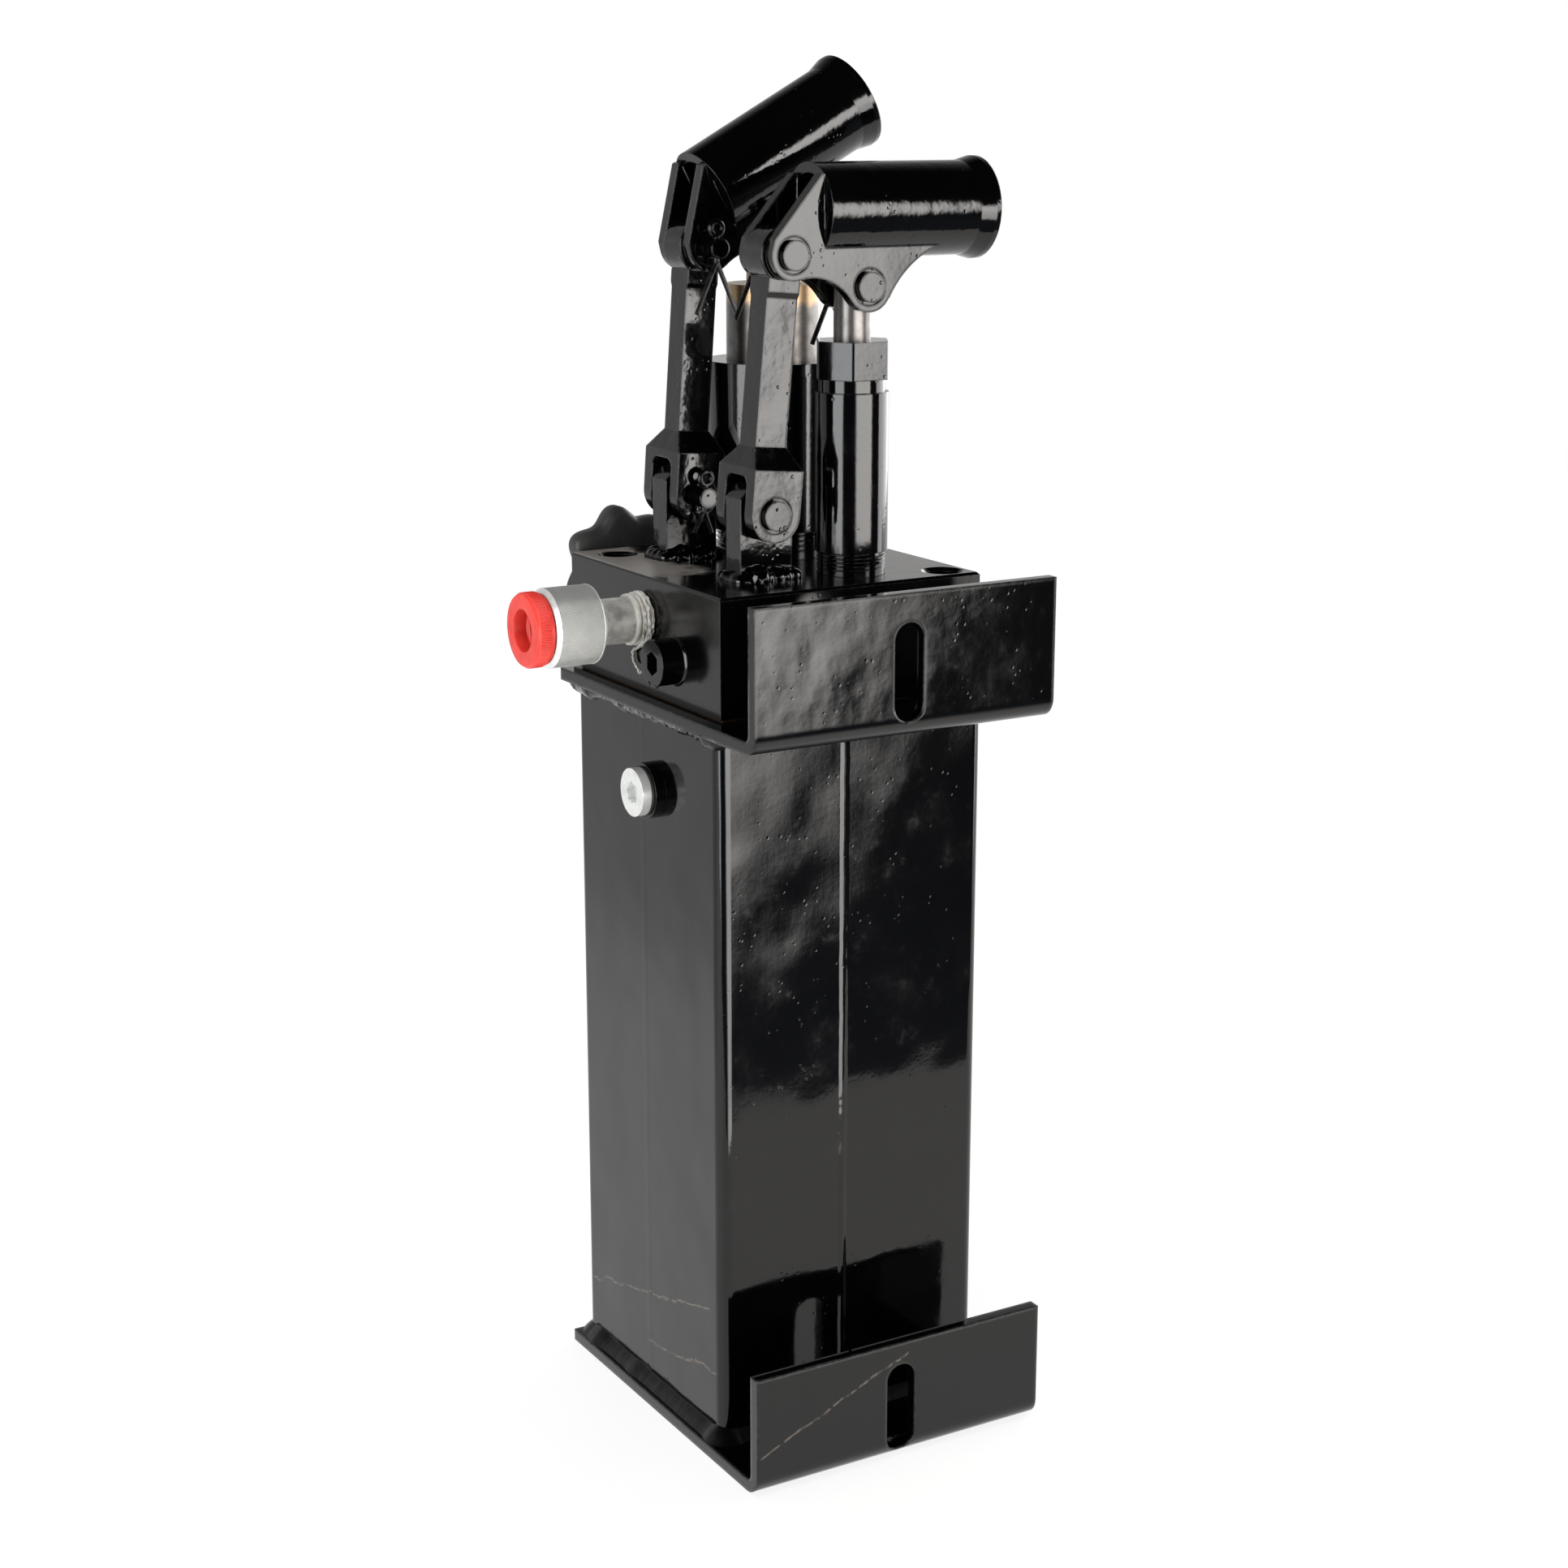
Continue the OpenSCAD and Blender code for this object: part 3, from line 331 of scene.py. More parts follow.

# %% [markdown]
# ## Bright metals
#
# The plungers are steel with fine scratches round it: the small one freshly ground, the large
# one dark with oil. Zinc plate on the coupler is pale and a little cloudy, worn on the nipple,
# and the grooves of the sleeve's knurl are painted darker, a painted shade. The screws are
# blackened. The balls are polished. Each of these is one metal with its own tint, its own
# scratches and its own direction for them.


# %% Metals
def metal(name, tint, dark, rough, scratch_run, scratch_depth, tarnish_and_shade=None, metallic=1.0):
    """A bare or plated metal. scratch_run stretches the scratches along an axis."""

    def paint(r):
        where = r.place()
        cloud = r.grain(where, 6.0, 4.0, 0.6)
        fine = r.grain(r.stretch(where, scratch_run), 0.5, 3.0, 0.7)
        soft_normal = r.rounded(0.25)
        edge_wear_and_highlight = r.edges(soft_normal)
        colour = r.blend(r.ease(cloud, 0.35, 0.7), tint, dark)
        # Sharp edges are painted paler: rubbed metal and a painted highlight.
        colour = r.blend(edge_wear_and_highlight * 0.5, colour, (0.86, 0.86, 0.85))
        # A real oil stain on the large plunger, and a painted shade in the knurl's grooves.
        if tarnish_and_shade:
            stain_and_shade_mask, shade = tarnish_and_shade(r, where)
            colour = r.blend(stain_and_shade_mask, colour, shade)
        return {
            "Base Color": colour,
            "Metallic": metallic,
            "Roughness": rough + cloud * 0.12 + fine * 0.10,
            "Normal": r.relief(fine * scratch_depth, soft_normal),
        }

    return finish(name, paint)


def rim_tarnish(r, where):
    """Brown and straw colours near the top of the large plunger, where oil has baked on."""
    x, y, z = r.axes(where)
    wavy = z + (r.grain(where, 8.0, 3.0) - 0.5) * 7.0
    return r.window(wavy, 449.0, 458.0, 4.0) * 0.6, (0.40, 0.26, 0.13)


def knurl_groove_shade(r, where):
    """Painted shade: darker grey in the grooves of the sleeve's knurl."""
    x, y, z = r.axes(where)
    across, up = y - GALLERY[1], z - GALLERY[2]
    bottom, crest = (SLEEVE_R - 0.30) ** 2, (SLEEVE_R - 0.04) ** 2
    groove = r.ease(across * across + up * up, crest, bottom)
    return groove * r.window(x, KNURL_FROM, KNURL_TO, 0.2) * 0.75, (0.13, 0.13, 0.125)


GALLERY = (0.0, 1.0, 330.0)
SLEEVE_R = 15.5
KNURL_FROM, KNURL_TO = -101.2, -83.2
ROUND_Z = (0.25, 0.25, 3.0)
ALONG_X = (0.4, 1, 1)
EVEN = (1, 1, 1)
ground_steel = metal(
    "ground_steel", (0.15, 0.142, 0.135), (0.10, 0.095, 0.09), 0.24, ROUND_Z, 0.004
)
spring_steel = metal("spring_steel", (0.50, 0.50, 0.50), (0.34, 0.34, 0.35), 0.25, EVEN, 0.004)
oily_steel = metal(
    "oily_steel", (0.11, 0.103, 0.096), (0.065, 0.06, 0.055), 0.18, ROUND_Z, 0.004, rim_tarnish
)
zinc_plate = metal(
    "zinc_plate", (0.88, 0.89, 0.87), (0.74, 0.76, 0.75), 0.22, ALONG_X, 0.006, knurl_groove_shade, 0.60
)
worn_zinc = metal(
    "worn_zinc", (0.78, 0.77, 0.73), (0.42, 0.41, 0.38), 0.20, ALONG_X, 0.010, None, 0.55
)
black_steel = metal("black_steel", (0.10, 0.10, 0.11), (0.05, 0.05, 0.06), 0.32, EVEN, 0.006)
ball_steel = metal("ball_steel", (0.78, 0.78, 0.78), (0.66, 0.66, 0.67), 0.06, EVEN, 0.001)

# %% [markdown]
# ## Plastics, rubber and the rest
#
# The dust plug is soft red plastic, matt and slightly scuffed. The knob is moulded black with
# a grain like fine sand. The seals are rubber. The sheet under the block is pressed fibre.
# The tape on the nipple's thread is white and has picked up oil.


# %% Plastics, rubber, fibre and tape
def moulded(name, tint, dark, rough, size, depth, edge_highlight_tint):
    """A moulded, pressed or wound material with an even grain."""

    def paint(r):
        where = r.place()
        soft_normal = r.rounded(0.3)
        cloud = r.grain(where, 9.0, 4.0, 0.6)
        fine = r.grain(where, size, 3.0, 0.6)
        colour = r.blend(r.ease(cloud, 0.3, 0.75), tint, dark)
        # Every edge is painted lighter, a painted highlight.
        colour = r.blend(r.edges(soft_normal) * 0.5, colour, edge_highlight_tint)
        return {
            "Base Color": colour,
            "Roughness": rough + cloud * 0.16 + fine * 0.08,
            "Normal": r.relief(fine * depth, soft_normal),
        }

    return finish(name, paint)


red_plastic = moulded(
    "red_plastic", (0.76, 0.050, 0.036), (0.60, 0.030, 0.022), 0.30, 1.4, 0.02, (0.88, 0.12, 0.09)
)
knob_plastic = moulded(
    "knob_plastic", (0.016, 0.016, 0.017), (0.030, 0.029, 0.028), 0.34, 0.7, 0.03, (0.09, 0.09, 0.09)
)
seal_rubber = moulded(
    "seal_rubber", (0.020, 0.020, 0.020), (0.032, 0.030, 0.028), 0.5, 0.9, 0.02, (0.05, 0.05, 0.05)
)
gasket_fibre = moulded(
    "gasket_fibre", (0.16, 0.10, 0.06), (0.10, 0.07, 0.045), 0.7, 0.6, 0.05, (0.2, 0.14, 0.1)
)
thread_tape = moulded(
    "thread_tape", (0.62, 0.61, 0.57), (0.40, 0.38, 0.33), 0.42, 0.8, 0.12, (0.8, 0.8, 0.78)
)


def woven_wire(r):
    """Fine wire cloth: two sets of ridges at right angles."""
    where = r.place()
    x, y, z = r.axes(where)
    weft = r.node("ShaderNodeMath", {"operation": "SINE"}, {0: z * 12.0})
    warp = r.node("ShaderNodeMath", {"operation": "SINE"}, {0: (x + y) * 9.0})
    cloth = weft * warp
    return {
        "Base Color": r.blend(r.ease(cloth, -0.4, 0.6), (0.12, 0.12, 0.11), (0.55, 0.54, 0.50)),
        "Metallic": 1.0,
        "Roughness": 0.35 + r.grain(where, 4.0) * 0.2,
        "Normal": r.relief(cloth * 0.12),
    }


strainer_cloth = finish("strainer_cloth", woven_wire)

# %% [markdown]
# ## Which CAD node wears what
#
# Every CAD node carries the name of its stock in its first material. That name picks a default
# finish. The last word of a node's name tells a forging or a pressing, whose enamel is less
# even, and a short table names the nodes that differ from all that. Only materials change here:
# the CAD shapes stay as they are.

# %% Dress the CAD nodes
FINISH_OF_SLOT = {
    "black_enamel": block_enamel,
    "bare_steel": spring_steel,
    "zinc_plate": zinc_plate,
    "dark_steel": black_steel,
    "ball_steel": ball_steel,
    "red_plastic": red_plastic,
    "knob_plastic": knob_plastic,
    "seal_rubber": seal_rubber,
    "gasket_sheet": gasket_fibre,
    "sealing_tape": thread_tape,
    "strainer_mesh": strainer_cloth,
}
FINISH_OF_NODE = {
    "tank_shell": tank_enamel,
    "lower_bracket": plate_enamel,
    "upper_bracket": plate_enamel,
    "near_barrel": turned_enamel,
    "far_barrel": turned_enamel,
    "near_socket": socket_enamel,
    "far_socket": socket_enamel,
    "coupler_nipple": worn_zinc,
    "near_plunger": ground_steel,
    "far_plunger": oily_steel,
}
FINISH_OF_KIND = {"link": forged_enamel, "lug": forged_enamel}
FINISH_OF_KIND |= dict.fromkeys(("cheeks", "pin", "cotter", "cotters"), pressed_enamel)
for name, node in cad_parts.items():
    slot = node.material_slots[0]
    chosen = FINISH_OF_SLOT[slot.material.name.split(".")[0]]
    if chosen is block_enamel:
        chosen = FINISH_OF_KIND.get(name.split("_")[-1], chosen)
    slot.material = FINISH_OF_NODE.get(name, chosen)
print("dressed", len(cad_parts), "nodes")

# %% [markdown]
# ## Tools for making pieces
#
# Two tools cover nearly every piece on a pump like this. `turned_rings` makes what comes off a
# lathe: a profile carried round an axis, with an optional rule that changes the radius, which
# gives knurls, ribs and lobes. `swept_rings` carries a small outline along a path, which gives
# wire, threads and string. Both make rings of points, and `skin` closes them with faces, so the
# number of points round and along follows the detail that is wanted.


# %% Mesh tools
def made_piece(name, points, faces, material, body, sharp=35.0):
    """Turns points in millimetres into a piece that rides on a body."""
    mesh = bpy.data.meshes.new(name)
    mesh.from_pydata([Vector(p) * MM for p in points], [], faces)
    mesh.validate()
    for polygon in mesh.polygons:
        polygon.use_smooth = True
    mesh.set_sharp_from_angle(angle=math.radians(sharp))
    mesh.materials.append(material)
    piece = bpy.data.objects.new(name, mesh)
    bpy.context.scene.collection.objects.link(piece)
    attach(piece, body)
    print("piece", name, "with", len(points), "points")
    return piece


def skin(rings, wrap):
    """Points and faces of the skin through rings of points. wrap joins the last to the first."""
    count = len(rings[0])
    points = [p for ring in rings for p in ring]
    faces = []
    for i in range(len(rings) if wrap else len(rings) - 1):
        a, b = i * count, (i + 1) % len(rings) * count
        for k in range(count):
            m = (k + 1) % count
            faces.append((a + k, a + m, b + m, b + k))
    if not wrap:
        faces.append(tuple(reversed(range(count))))
        faces.append(tuple(len(points) - count + k for k in range(count)))
    return points, faces


def turned_rings(profile, axis, centre, sides, shape=None):
    """Rings round X or Y. profile holds (along, radius) pairs; shape(along, turn, radius)."""
    rings = []
    for along, radius in profile:
        ring = []
        for k in range(sides):
            turn = 2 * math.pi * k / sides
            r = shape(along, turn, radius) if shape else radius
            a, b = r * math.cos(turn), r * math.sin(turn)
            if axis == "X":
                ring.append((along, centre[1] + a, centre[2] + b))
            else:
                ring.append((centre[0] - a, along, centre[2] + b))
        rings.append(ring)
    return rings


def swept_rings(path, up, outline):
    """Rings along a path. outline(i) gives (outward, upward) pairs at point i of the path."""
    rings = []
    for i, here in enumerate(path):
        ahead = path[min(i + 1, len(path) - 1)] - path[max(i - 1, 0)]
        out = ahead.cross(up).normalized()
        over = out.cross(ahead).normalized()
        rings.append([tuple(here + out * a + over * b) for a, b in outline(i)])
    return rings


def circle(radius, sides):
    """An outline for round wire."""
    turns = [2 * math.pi * k / sides for k in range(sides)]
    return [(radius * math.cos(t), radius * math.sin(t)) for t in turns]


def joined(parts):
    """Several (points, faces) lists as one."""
    points, faces = [], []
    for part_points, part_faces in parts:
        start = len(points)
        points += part_points
        faces += [tuple(start + k for k in face) for face in part_faces]
    return points, faces


# %% [markdown]
# ## Weld beads
#
# The tank stands in a bead at its foot and hangs in another under the pump block's plate. A
# hand-laid bead is a row of overlapping drops: it ripples every few millimetres, it swells and
# thins as the hand moves, and it heaps up where it starts and stops. A fillet outline is
# carried along the joint, and one number, `wild`, says how much of all that it gets. The bead
# at the foot is calm, nearly a flat fillet. The one at the top is livelier.


# %% Bead tool
def bead(name, path, outwards, up, size, material, body, wild, lumps=()):
    """A closed fillet bead. size(point) is its leg; lumps are (place, reach, swell).

    wild goes from 0 for a calm, flat fillet to 1 for a heaped, uneven one.
    """
    RIPPLE = 2.6
    ARC = [math.radians(a) for a in (-4, 12, 28, 45, 62, 78, 94)]
    rings = []
    travelled = 0.0
    for i, here in enumerate(path):
        travelled += (here - path[i - 1]).length
        drop = (travelled / RIPPLE) % 1.0
        leg = size(here) * (0.96 + 0.07 * wild * math.sin(math.pi * drop) ** 0.7)
        leg *= 1.0 + wild * (0.40 * noise.noise(here / 8.0) + 0.14 * noise.noise(here / 2.6))
        for place, reach, swell in lumps:
            leg += swell * math.exp(-(((here - place).length / reach) ** 2))
        ring = [here - outwards[i] * 0.4 - up * 0.4]
        for a in ARC:
            spot = (here + outwards[i] * math.cos(a) * leg + up * math.sin(a) * leg) / 2.3
            flat = 1.02 / (math.cos(a) + math.sin(a))
            heaped = 0.92 + 0.10 * math.sin(2 * a) + 0.16 * noise.noise(spot)
            bulge = leg * ((1 - wild) * flat + wild * heaped)
            ring.append(here + outwards[i] * bulge * math.cos(a) + up * bulge * math.sin(a))
        rings.append([tuple(p) for p in ring])
    points, faces = skin(rings, wrap=True)
    if up.z < 0:
        faces = [tuple(reversed(face)) for face in faces]
    return made_piece(name, points, faces, material, body, sharp=60.0)


def round_loop(x0, x1, y0, y1, corner, z, step):
    """Points and outward directions round a rectangle with round corners, seen from above."""
    points, outwards = [], []
    legs = [
        (Vector((x1 - corner, y0 + corner, z)), -90, Vector((x0 + corner, y0, z))),
        (Vector((x1 - corner, y1 - corner, z)), 0, Vector((x1, y0 + corner, z))),
        (Vector((x0 + corner, y1 - corner, z)), 90, Vector((x1 - corner, y1, z))),
        (Vector((x0 + corner, y0 + corner, z)), 180, Vector((x0, y1 - corner, z))),
    ]
    for centre, start, straight_from in legs:
        face_out = Vector((math.cos(math.radians(start)), math.sin(math.radians(start)), 0))
        straight_to = centre + face_out * corner
        steps = max(2, round((straight_to - straight_from).length / step))
        for k in range(steps):
            points.append(straight_from.lerp(straight_to, k / steps))
            outwards.append(face_out)
        turns = max(3, round(corner * math.pi / 2 / step))
        for k in range(turns):
            a = math.radians(start + 90 * k / turns)
            out = Vector((math.cos(a), math.sin(a), 0))
            points.append(centre + out * corner)
            outwards.append(out)
    return points, outwards


# %% Tank beads
TANK_HALF, TANK_CORNER = 60.0, 5.0
FOOT_PLATE_TOP, BLOCK_PLATE_UNDERSIDE = 5.0, 295.0
BEAD_LEG, BACK_BEAD_LEG = 4.4, 1.7
BEAD_STEP = 0.65
UP = Vector((0, 0, 1))


def tank_bead_size(here):
    """Full size in front and at the sides, thin behind, where the plate ends."""
    return BACK_BEAD_LEG if here.y > TANK_HALF - 1 else BEAD_LEG


for piece_name, node_name, z, up, wild, coat in (
    ("foot_bead", "foot_weld", FOOT_PLATE_TOP, UP, 0.12, fillet_enamel),
    ("top_bead", "top_weld", BLOCK_PLATE_UNDERSIDE, -UP, 0.60, weld_enamel),
):
    path, outwards = round_loop(
        -TANK_HALF, TANK_HALF, -TANK_HALF, TANK_HALF, TANK_CORNER, z, BEAD_STEP
    )
    heaps = [(Vector((sx * 59.0, -57.0, z)), 5.0, 1.6) for sx in (-1, 1)]
    heaps += [(Vector((-60.0, 46.0, z)), 6.0, 1.6), (Vector((-60.0, 12.0, z)), 5.0, 0.7)]
    piece = bead(piece_name, path, outwards, up, tank_bead_size, coat, "pump", wild, heaps)
    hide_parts(node_name)

# %% [markdown]
# The lugs that carry the links are welded all round their feet, with much more metal. On the
# wall side of the near lug the bead is a heap of large drops.

# %% Lug beads
LUG_X = (-35.8, -13.0)
LUG_HALF, LUG_CORNER = 5.5, 1.0
LUG_BEAD_LEG, LUG_BEAD_STEP = 3.6, 0.55
NEAR_Y, FAR_Y = -29.0, 31.0
BLOCK_TOP = 347.0
for centre_y, heap in ((NEAR_Y, 3.0), (FAR_Y, 1.8)):
    path, outwards = round_loop(
        *LUG_X, centre_y - LUG_HALF, centre_y + LUG_HALF, LUG_CORNER, BLOCK_TOP, LUG_BEAD_STEP
    )
    heaps = [
        (Vector((-28.0, centre_y - 6, BLOCK_TOP)), 4.0, heap),
        (Vector((-19.0, centre_y - 6, BLOCK_TOP)), 3.5, heap * 0.6),
        (Vector((-36.0, centre_y + 3, BLOCK_TOP)), 3.0, heap * 0.4),
    ]
    label = "near_lug_bead" if centre_y < 0 else "far_lug_bead"
    bead(label, path, outwards, UP, lambda here: LUG_BEAD_LEG, weld_enamel, "pump", 1.0, heaps)
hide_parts("lug_welds")

# %% [markdown]
# ## Threads
#
# Both barrels screw into the block, and a few turns of their threads stay in sight. A thread is
# a ridge that climbs round the neck, so it is a small pointed outline swept along a helix.
# The neck itself is the CAD's own, and the ridge stands on it.


# %% Thread tool and barrel threads
def helix(axis, centre, radius, start, end, pitch, per_turn=48):
    """Points of a helix round X or Z, from start to end along it."""
    count = max(8, round(abs(end - start) / pitch * per_turn))
    points = []
    for k in range(count + 1):
        turn = 2 * math.pi * k / per_turn
        along = start + (end - start) * k / count
        a, b = radius * math.cos(turn), radius * math.sin(turn)
        if axis == "X":
            points.append(Vector((along, centre[1] + a, centre[2] + b)))
        else:
            points.append(Vector((centre[0] + a, centre[1] + b, along)))
    return points


def thread_ridge(name, centre, radius, start, end, pitch):
    """A pointed ridge on an upright neck, fading in and out at its ends."""
    path = helix("Z", centre, radius, start, end, pitch)

    def outline(i):
        fade = min(1.0, i / 12, (len(path) - 1 - i) / 12) * 0.9 + 0.1
        half = pitch * 0.42
        return [(-0.3, -half), (0.55 * fade, -0.12), (0.55 * fade, 0.12), (-0.3, half)]

    points, faces = skin(swept_rings(path, UP, outline), wrap=False)
    return made_piece(name, points, faces, turned_enamel, "pump", sharp=25.0)


BARREL_X = 17.0
NEAR_NECK_R, FAR_NECK_R = 13.0, 23.0
THREAD_FROM = BLOCK_TOP + 0.4
thread_ridge("near_barrel_thread", (BARREL_X, NEAR_Y), NEAR_NECK_R, THREAD_FROM, 354.6, 1.5)
thread_ridge("far_barrel_thread", (BARREL_X, FAR_Y), FAR_NECK_R, THREAD_FROM, 356.6, 2.0)

# %% [markdown]
# ## Springs
#
# The CAD keeps each spring as its envelope, a thin tube. Here each one is real wire: a round
# outline swept along an evenly wound helix. All of them lie inside the pump.


# %% Coil springs
WIRE_R = 0.5
VALVE_Z = 318.0
RELIEF = (0.0, -24.5, 317.5)
EAST = Vector((1, 0, 0))


def coil(centre, mean_radius, start, end, turns):
    """Points and faces of a coil spring along X."""
    path = helix("X", centre, mean_radius, start + WIRE_R, end - WIRE_R, (end - start) / turns, 24)
    rings = swept_rings(path, EAST, lambda i: circle(WIRE_R, 8))
    return skin(rings, wrap=False)


points, faces = joined([coil((0, y, VALVE_Z), 3.45, 39.5, 46.9, 5) for y in (NEAR_Y, FAR_Y)])
valve_springs = made_piece("valve_springs", points, faces, spring_steel, "pump")
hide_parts("outlet_springs")
points, faces = coil(RELIEF, 2.45, -47.3, -38.1, 6)
relief_coil = made_piece("relief_coil", points, faces, spring_steel, "pump")
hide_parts("relief_spring")
points, faces = coil(GALLERY, 12.85, -91.8, -84.7, 4)
coupler_coil = made_piece("coupler_coil", points, faces, spring_steel, "pump")
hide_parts("sleeve_spring")

# %% [markdown]
# ## The coupler's sleeve
#
# Fingers pull this sleeve back against its spring, so it has a diamond knurl pressed into it.
# Two sets of grooves cross at right angles and leave small pyramids about a millimetre apart.
# The knurl could be a bump in the finish, but it catches light on each facet and shows at the
# outline, so it is real here: the radius drops wherever either set of grooves passes.

# %% Knurled sleeve
SLEEVE_FROM, SLEEVE_TO = -102.9, -82.4
BODY_R, GROOVE_R = 12.1, 13.7
LIP, GROOVE_END = 2.0, 15.0
KNURLS = 108
KNURL_PITCH = 0.94
KNURL_STEP = 0.235
KNURL_DEPTH = 0.34


def knurl(along, turn, radius):
    """Drops the radius in the grooves of the diamond knurl."""
    if radius < SLEEVE_R - 0.01 or not KNURL_FROM - 0.01 < along < KNURL_TO + 0.01:
        return radius
    across = turn * KNURLS / (2 * math.pi)
    one = abs((across + along / KNURL_PITCH) % 1.0 - 0.5) * 2
    other = abs((across - along / KNURL_PITCH) % 1.0 - 0.5) * 2
    return radius - KNURL_DEPTH * (1 - min(one, other))


steps = round((KNURL_TO - KNURL_FROM) / KNURL_STEP)
profile = [(SLEEVE_FROM, 13.7), (SLEEVE_FROM + 0.2, 14.0), (SLEEVE_FROM + 1.4, 15.2)]
profile += [(SLEEVE_FROM + 1.6, SLEEVE_R - 0.02)]
profile += [(KNURL_FROM + KNURL_STEP * k, SLEEVE_R) for k in range(steps + 1)]
profile += [(SLEEVE_TO - 0.7, SLEEVE_R - 0.02), (SLEEVE_TO - 0.3, 15.3), (SLEEVE_TO, 14.8)]
profile += [(SLEEVE_TO, BODY_R), (SLEEVE_TO - LIP, BODY_R), (SLEEVE_TO - LIP, GROOVE_R)]
profile += [(SLEEVE_TO - GROOVE_END, GROOVE_R), (SLEEVE_TO - GROOVE_END, BODY_R)]
profile += [(SLEEVE_FROM, BODY_R)]
points, faces = skin(turned_rings(profile, "X", GALLERY, KNURLS * 4, knurl), wrap=True)
sleeve = made_piece(
    "knurled_sleeve", points, faces, zinc_plate, "coupler_sleeve", 20.0
)
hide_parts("coupler_sleeve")

# %% [markdown]
# ## The dust plug
#
# The plug is moulded in soft red plastic. Its rim has fine ribs for grip, its front edge is
# rounded, and a deep round recess keeps the wall even. The ribs are a rule on the radius again.

# %% Ribbed dust plug
RIBS = 108
PLUG_R = 14.6


def plug_ribs(along, turn, radius):
    """Fine ribs along the rim."""
    if radius < PLUG_R - 0.01:
        return radius
    return radius - 0.36 * (1 - abs(math.sin(RIBS * turn / 2)) ** 0.8)


profile = [(-92.1, 0.05), (-92.1, 5.9), (-92.7, 6.5), (-104.6, 6.6), (-105.0, 7.0), (-105.0, 7.6)]
profile += [(-105.5, 8.05), (-110.3, 8.1), (-110.85, 8.3), (-111.0, 8.8), (-111.0, 13.4)]
profile += [(-110.85, 13.8), (-110.3, 14.15), (-109.9, 14.2), (-109.7, PLUG_R), (-107.4, PLUG_R)]
profile += [(-105.2, PLUG_R), (-105.0, 14.15), (-103.9, 14.1), (-103.4, 13.6), (-103.4, 7.9)]
profile += [(-90.6, 7.9), (-90.1, 7.6), (-89.9, 7.0), (-89.9, 0.05)]
points, faces = skin(turned_rings(profile, "X", GALLERY, RIBS * 6, plug_ribs), wrap=False)
plug = made_piece("ribbed_plug", points, faces, red_plastic, "dust_plug", 30.0)
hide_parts("dust_plug")

# %% [markdown]
# ## Sealing tape
#
# The nipple was wound with tape before it was screwed in. The squeezed-out tape stands in a
# smooth collar and three ragged rings, and a loose strand hangs from them down to the relief
# plug. The rings are turned with a rough radius, rougher towards the block, and the strand is
# a thin uneven string swept down the block's face.


# %% Tape
def ragged(along, turn, radius):
    """A rough radius for wound tape."""
    if radius < 9.1:
        return radius
    wildness = min(1.0, max(0.2, (along + 66.0) / 4.0))
    spot = Vector((along * 1.3, math.cos(turn) * 4, math.sin(turn) * 4))
    return radius + wildness * (0.9 * noise.noise(spot) + 0.7 * noise.noise(spot * 3.1))


TAPE_RINGS = ((-66.7, 2.2, 10.1), (-64.3, 1.7, 10.0), (-62.4, 1.3, 10.6), (-60.9, 1.6, 10.4))
parts = []
for x, width, crest in TAPE_RINGS:
    shape = [(0.0, 9.0), (0.04, crest - 0.6), (0.2, crest - 0.1), (0.5, crest), (0.8, crest - 0.1)]
    shape += [(0.96, crest - 0.6), (1.0, 9.0)]
    profile = [(x + share * width, radius) for share, radius in shape]
    parts.append(skin(turned_rings(profile, "X", GALLERY, 180, ragged), wrap=True))
strand_at = [(-60.6, -6.9, 323.6), (-60.4, -2.0, 320.3), (-60.5, 2.5, 318.6), (-60.2, 7.6, 316.2)]
strand_at += [(-60.1, 8.6, 314.2), (-60.2, 7.4, 311.8), (-60.6, 4.5, 310.2), (-61.0, 1.0, 308.6)]
knots = [Vector(p) for p in strand_at]
strand = []
for i in range(len(knots) - 1):
    for k in range(8):
        spot = knots[i].lerp(knots[i + 1], k / 8)
        strand.append(spot + Vector((0, noise.noise(spot), noise.noise(spot * 2))) * 0.5)
strand.append(knots[-1])
rings = swept_rings(
    strand, EAST, lambda i: circle(0.62 + 0.35 * noise.noise(strand[i]), 7)
)
parts.append(skin(rings, wrap=False))
points, faces = joined(parts)
tape = made_piece("wound_tape", points, faces, thread_tape, "pump", 50.0)
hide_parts("thread_sealant")

# %% [markdown]
# ## Paint round the relief plug
#
# The relief plug was in place when the pump was painted. The enamel gathered in the corner at
# its foot, where it catches the light as a thin ring, and hung in two drops under its head.

# %% Gathered paint
foot_ring = [(-59.8, 8.9), (-59.75, 9.15), (-59.5, 9.35), (-59.2, 9.7), (-58.9, 10.0), (-58.9, 8.9)]
parts = [skin(turned_rings(foot_ring, "X", RELIEF, 72), wrap=True)]
for x, y, z, size in ((-68.7, -21.8, 309.2, 1.0), (-68.6, -27.0, 308.9, 0.8)):
    arc = [math.radians(a) for a in range(-80, 81, 20)]
    drop = [(x + size * math.sin(a), size * math.cos(a)) for a in arc]
    parts.append(skin(turned_rings(drop, "X", (0.0, y, z), 16), wrap=False))
points, faces = joined(parts)
made_piece("gathered_paint", points, faces, weld_enamel, "pump", 60.0)

# %% [markdown]
# ## The release knob
#
# The knob is a moulded star grip with seven soft lobes. In CAD it is a ring of cylinders. Here
# its outline is one smooth wave, its edges are rounded, and its back has a shallow dish.

# %% Lobed knob
KNOB = (-32.0, 0.0, 337.5)
LOBES = 7
FIRST_LOBE = math.radians(150)


def lobes(along, turn, radius):
    """A soft wave on the outer part of the knob."""
    share = min(1.0, max(0.0, (radius - 12.0) / 9.0))
    wave = math.cos(LOBES * (math.pi - turn - FIRST_LOBE))
    return radius + 2.3 * wave * share * share


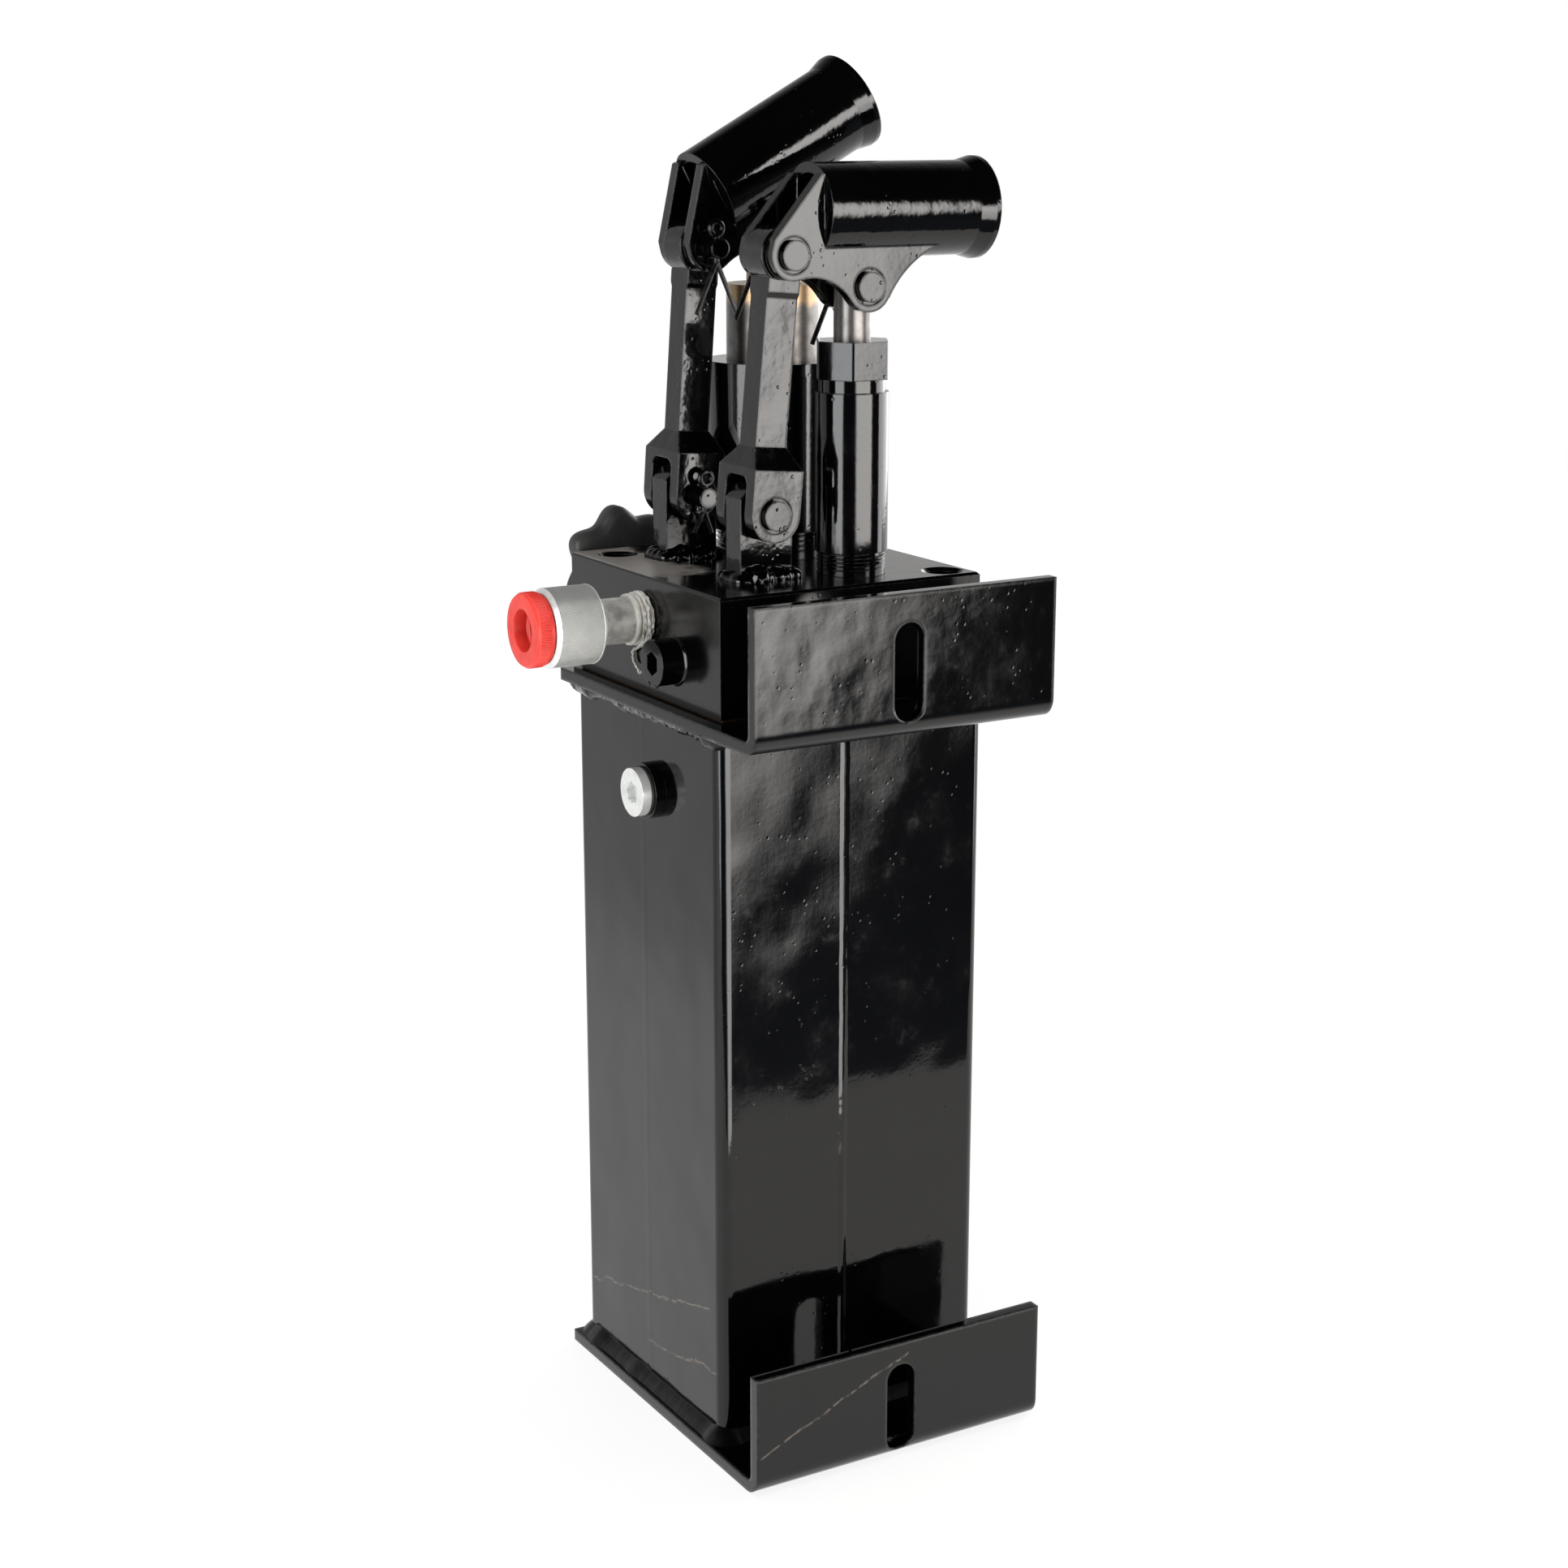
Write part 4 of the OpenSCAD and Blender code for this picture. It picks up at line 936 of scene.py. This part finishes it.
profile = [(64.4, 3.56), (64.4, 8.4), (64.8, 8.9), (66.4, 9.0), (66.5, 9.6), (66.5, 18.6)]
profile += [(66.7, 20.6), (67.3, 22.2), (68.3, 23.2), (69.6, 23.6), (74.0, 23.6), (75.2, 23.3)]
profile += [(76.2, 22.3), (76.8, 20.8), (77.0, 18.9), (77.0, 16.5), (76.6, 15.2), (75.9, 14.0)]
profile += [(75.6, 12.5), (75.6, 9.8), (75.9, 8.8), (76.6, 8.1), (77.0, 7.6), (77.0, 4.4), (76.6, 3.56)]
points, faces = skin(turned_rings(profile, "Y", KNOB, 196, lobes), wrap=True)
knob = made_piece("lobed_knob", points, faces, knob_plastic, "release_knob", 50.0)
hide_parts("star_knob")

# %% [markdown]
# ## The table
#
# The pump stands on a pale table. Its colour glows, a painted light, so the table is bright
# even where no lamp reaches it and casts little shade. The painted glow is brightest in front,
# and dimmer to the left behind the pump, where the tank's left face mirrors it. In front it ends
# not far from the pump, and the tank's front face mirrors that end.

# %% Table
FRONT_EDGE, BACK_EDGE, HALF_WIDTH, TABLE_T = -0.40, 2.6, 2.4, 0.02
ROUNDING = 0.008
corners = [
    (FRONT_EDGE + ROUNDING, -TABLE_T),
    (FRONT_EDGE, -TABLE_T + ROUNDING),
    (FRONT_EDGE, -ROUNDING),
    (FRONT_EDGE + ROUNDING * 0.3, -ROUNDING * 0.3),
    (FRONT_EDGE + ROUNDING, 0.0),
    (BACK_EDGE, 0.0),
    (BACK_EDGE, -TABLE_T),
]
points = [(x, y, z) for x in (-HALF_WIDTH, HALF_WIDTH) for y, z in corners]
count = len(corners)
faces = [(k, (k + 1) % count, (k + 1) % count + count, k + count) for k in range(count)]
faces += [tuple(reversed(range(count))), tuple(range(count, 2 * count))]
mesh = bpy.data.meshes.new("table")
mesh.from_pydata(points, [], faces)


def painted_glow_table(r):
    where = r.place()
    x, y, z = r.axes(where)
    cloud = r.grain(where, 400.0, 3.0)
    # Painted light: the glow is warm and brightest in front, and dimmer to the back left.
    front = r.ease(y, -90.0, -200.0)
    left = r.ease(x - y * 0.25, -340.0, -600.0) * r.ease(y, 40.0, 160.0)
    glow = r.blend(front, (0.95, 0.95, 0.95), (1.0, 0.97, 0.93))
    return {
        "Base Color": r.blend(cloud, (0.20, 0.20, 0.20), (0.23, 0.23, 0.23)),
        "Roughness": 0.5 + cloud * 0.1,
        "Emission Color": r.blend(left, glow, (0.62, 0.62, 0.62)),
        "Emission Strength": 0.90,
        "Normal": r.relief(r.grain(where, 1.5, 2.0) * 0.01),
    }


mesh.materials.append(finish("painted_glow_table", painted_glow_table))
table = bpy.data.objects.new("table", mesh)
bpy.context.scene.collection.objects.link(table)
print("table from", FRONT_EDGE, "to", BACK_EDGE)

# %% [markdown]
# ## Light
#
# Gloss black shows nothing of its own: what is seen is the room. So the room matters more than
# the lamps. Nearly all of it is dark, and four things in it glow. A large round soft lamp stands
# in front and a little to the right, and every face that looks that way mirrors its fading rim.
# It is dimmer low down, and its top is cut off level on the left and climbs to the right.
# A tall lamp on the left and another on the right draw the bright lines down the barrels. The
# backdrop behind is pale low down and fades upwards. The overhead lamp only lights what is not
# black, so its own mirror image is switched off.


# %% Room and lamps
def ahead_of(room, ahead, across, up):
    """How far to the side and how high a direction points, per metre ahead."""
    reach = room.node("ShaderNodeMath", {"operation": "MAXIMUM"}, {0: ahead, 1: 0.02})
    return across / reach, up / reach, room.ease(ahead, 0.02, 0.10)


world = bpy.data.worlds.new("studio")
bpy.context.scene.world = world
world.use_nodes = True
room = Recipe(world.node_tree)
direction = room.node("ShaderNodeTexCoord", output="Generated")
east, north, height = room.axes(direction)

LAMP_SIDE, LAMP_RISE = 0.175, 0.057
LAMP_RIM, LAMP_CORE = 0.60, 0.445
side, rise, facing = ahead_of(room, north * -1.0, east, height)
off_side, off_rise = side - LAMP_SIDE, rise - LAMP_RISE
off_centre = off_side * off_side + off_rise * off_rise
round_lamp = room.ease(off_centre, LAMP_RIM**2, LAMP_CORE**2) * facing
brim = room.node("ShaderNodeMath", {"operation": "MAXIMUM"}, {0: side - 0.26, 1: 0.06})
round_lamp = round_lamp * room.ease(rise - brim, 0.08, -0.06)
round_lamp = round_lamp * room.ease(rise, -0.34, -0.06, 0.72, 1.0)
side, rise, facing = ahead_of(room, east * -1.0, north, height)
left_lamp = room.window(side, -0.56, 0.03, 0.07) * room.window(rise, -0.50, 0.40, 0.10) * facing
side, rise, facing = ahead_of(room, east, north, height)
right_lamp = room.window(side, -0.48, 0.75, 0.10) * room.window(rise, -0.40, 0.50, 0.10) * facing
backdrop = room.node(
    "ShaderNodeValToRGB",
    {
        "stops": [
            (0.00, (0.66, 0.66, 0.66)),
            (0.18, (0.70, 0.69, 0.68)),
            (0.44, (0.40, 0.39, 0.38)),
            (0.64, (0.20, 0.20, 0.20)),
            (0.77, (0.05, 0.05, 0.05)),
            (0.84, (0.00, 0.00, 0.00)),
        ]
    },
    {0: height},
)
front_room = room.blend(room.ease(height, -0.40, -0.12), (0.10, 0.11, 0.13), (0.03, 0.03, 0.034))
upwards = room.ease(height, 0.10, 0.50)
front_room = room.blend(upwards, front_room, (0.0, 0.0, 0.0))
seen = room.node("ShaderNodeLightPath", output="Is Camera Ray")
colour = room.blend(room.ease(north, 0.0, 0.30), front_room, backdrop)
colour = room.blend(round_lamp, colour, (9.8, 9.5, 9.2))
colour = room.blend(left_lamp, colour, (7.0, 7.1, 7.2))
colour = room.blend(right_lamp, colour, (5.0, 5.0, 5.0))
colour = room.blend(seen, colour, (1.0, 1.0, 1.0))
glow = room.node("ShaderNodeBackground", inputs={"Color": colour, "Strength": 1.0})
room.node("ShaderNodeOutputWorld", inputs={"Surface": glow})

overhead = bpy.data.lights.new("overhead_lamp", "AREA")
overhead.size = 1.4
overhead.energy = 20.0
overhead_lamp = bpy.data.objects.new("overhead_lamp", overhead)
overhead_lamp.location = (-0.3, -0.2, 1.9)
overhead_lamp.visible_camera = False
overhead_lamp.visible_glossy = False
bpy.context.scene.collection.objects.link(overhead_lamp)
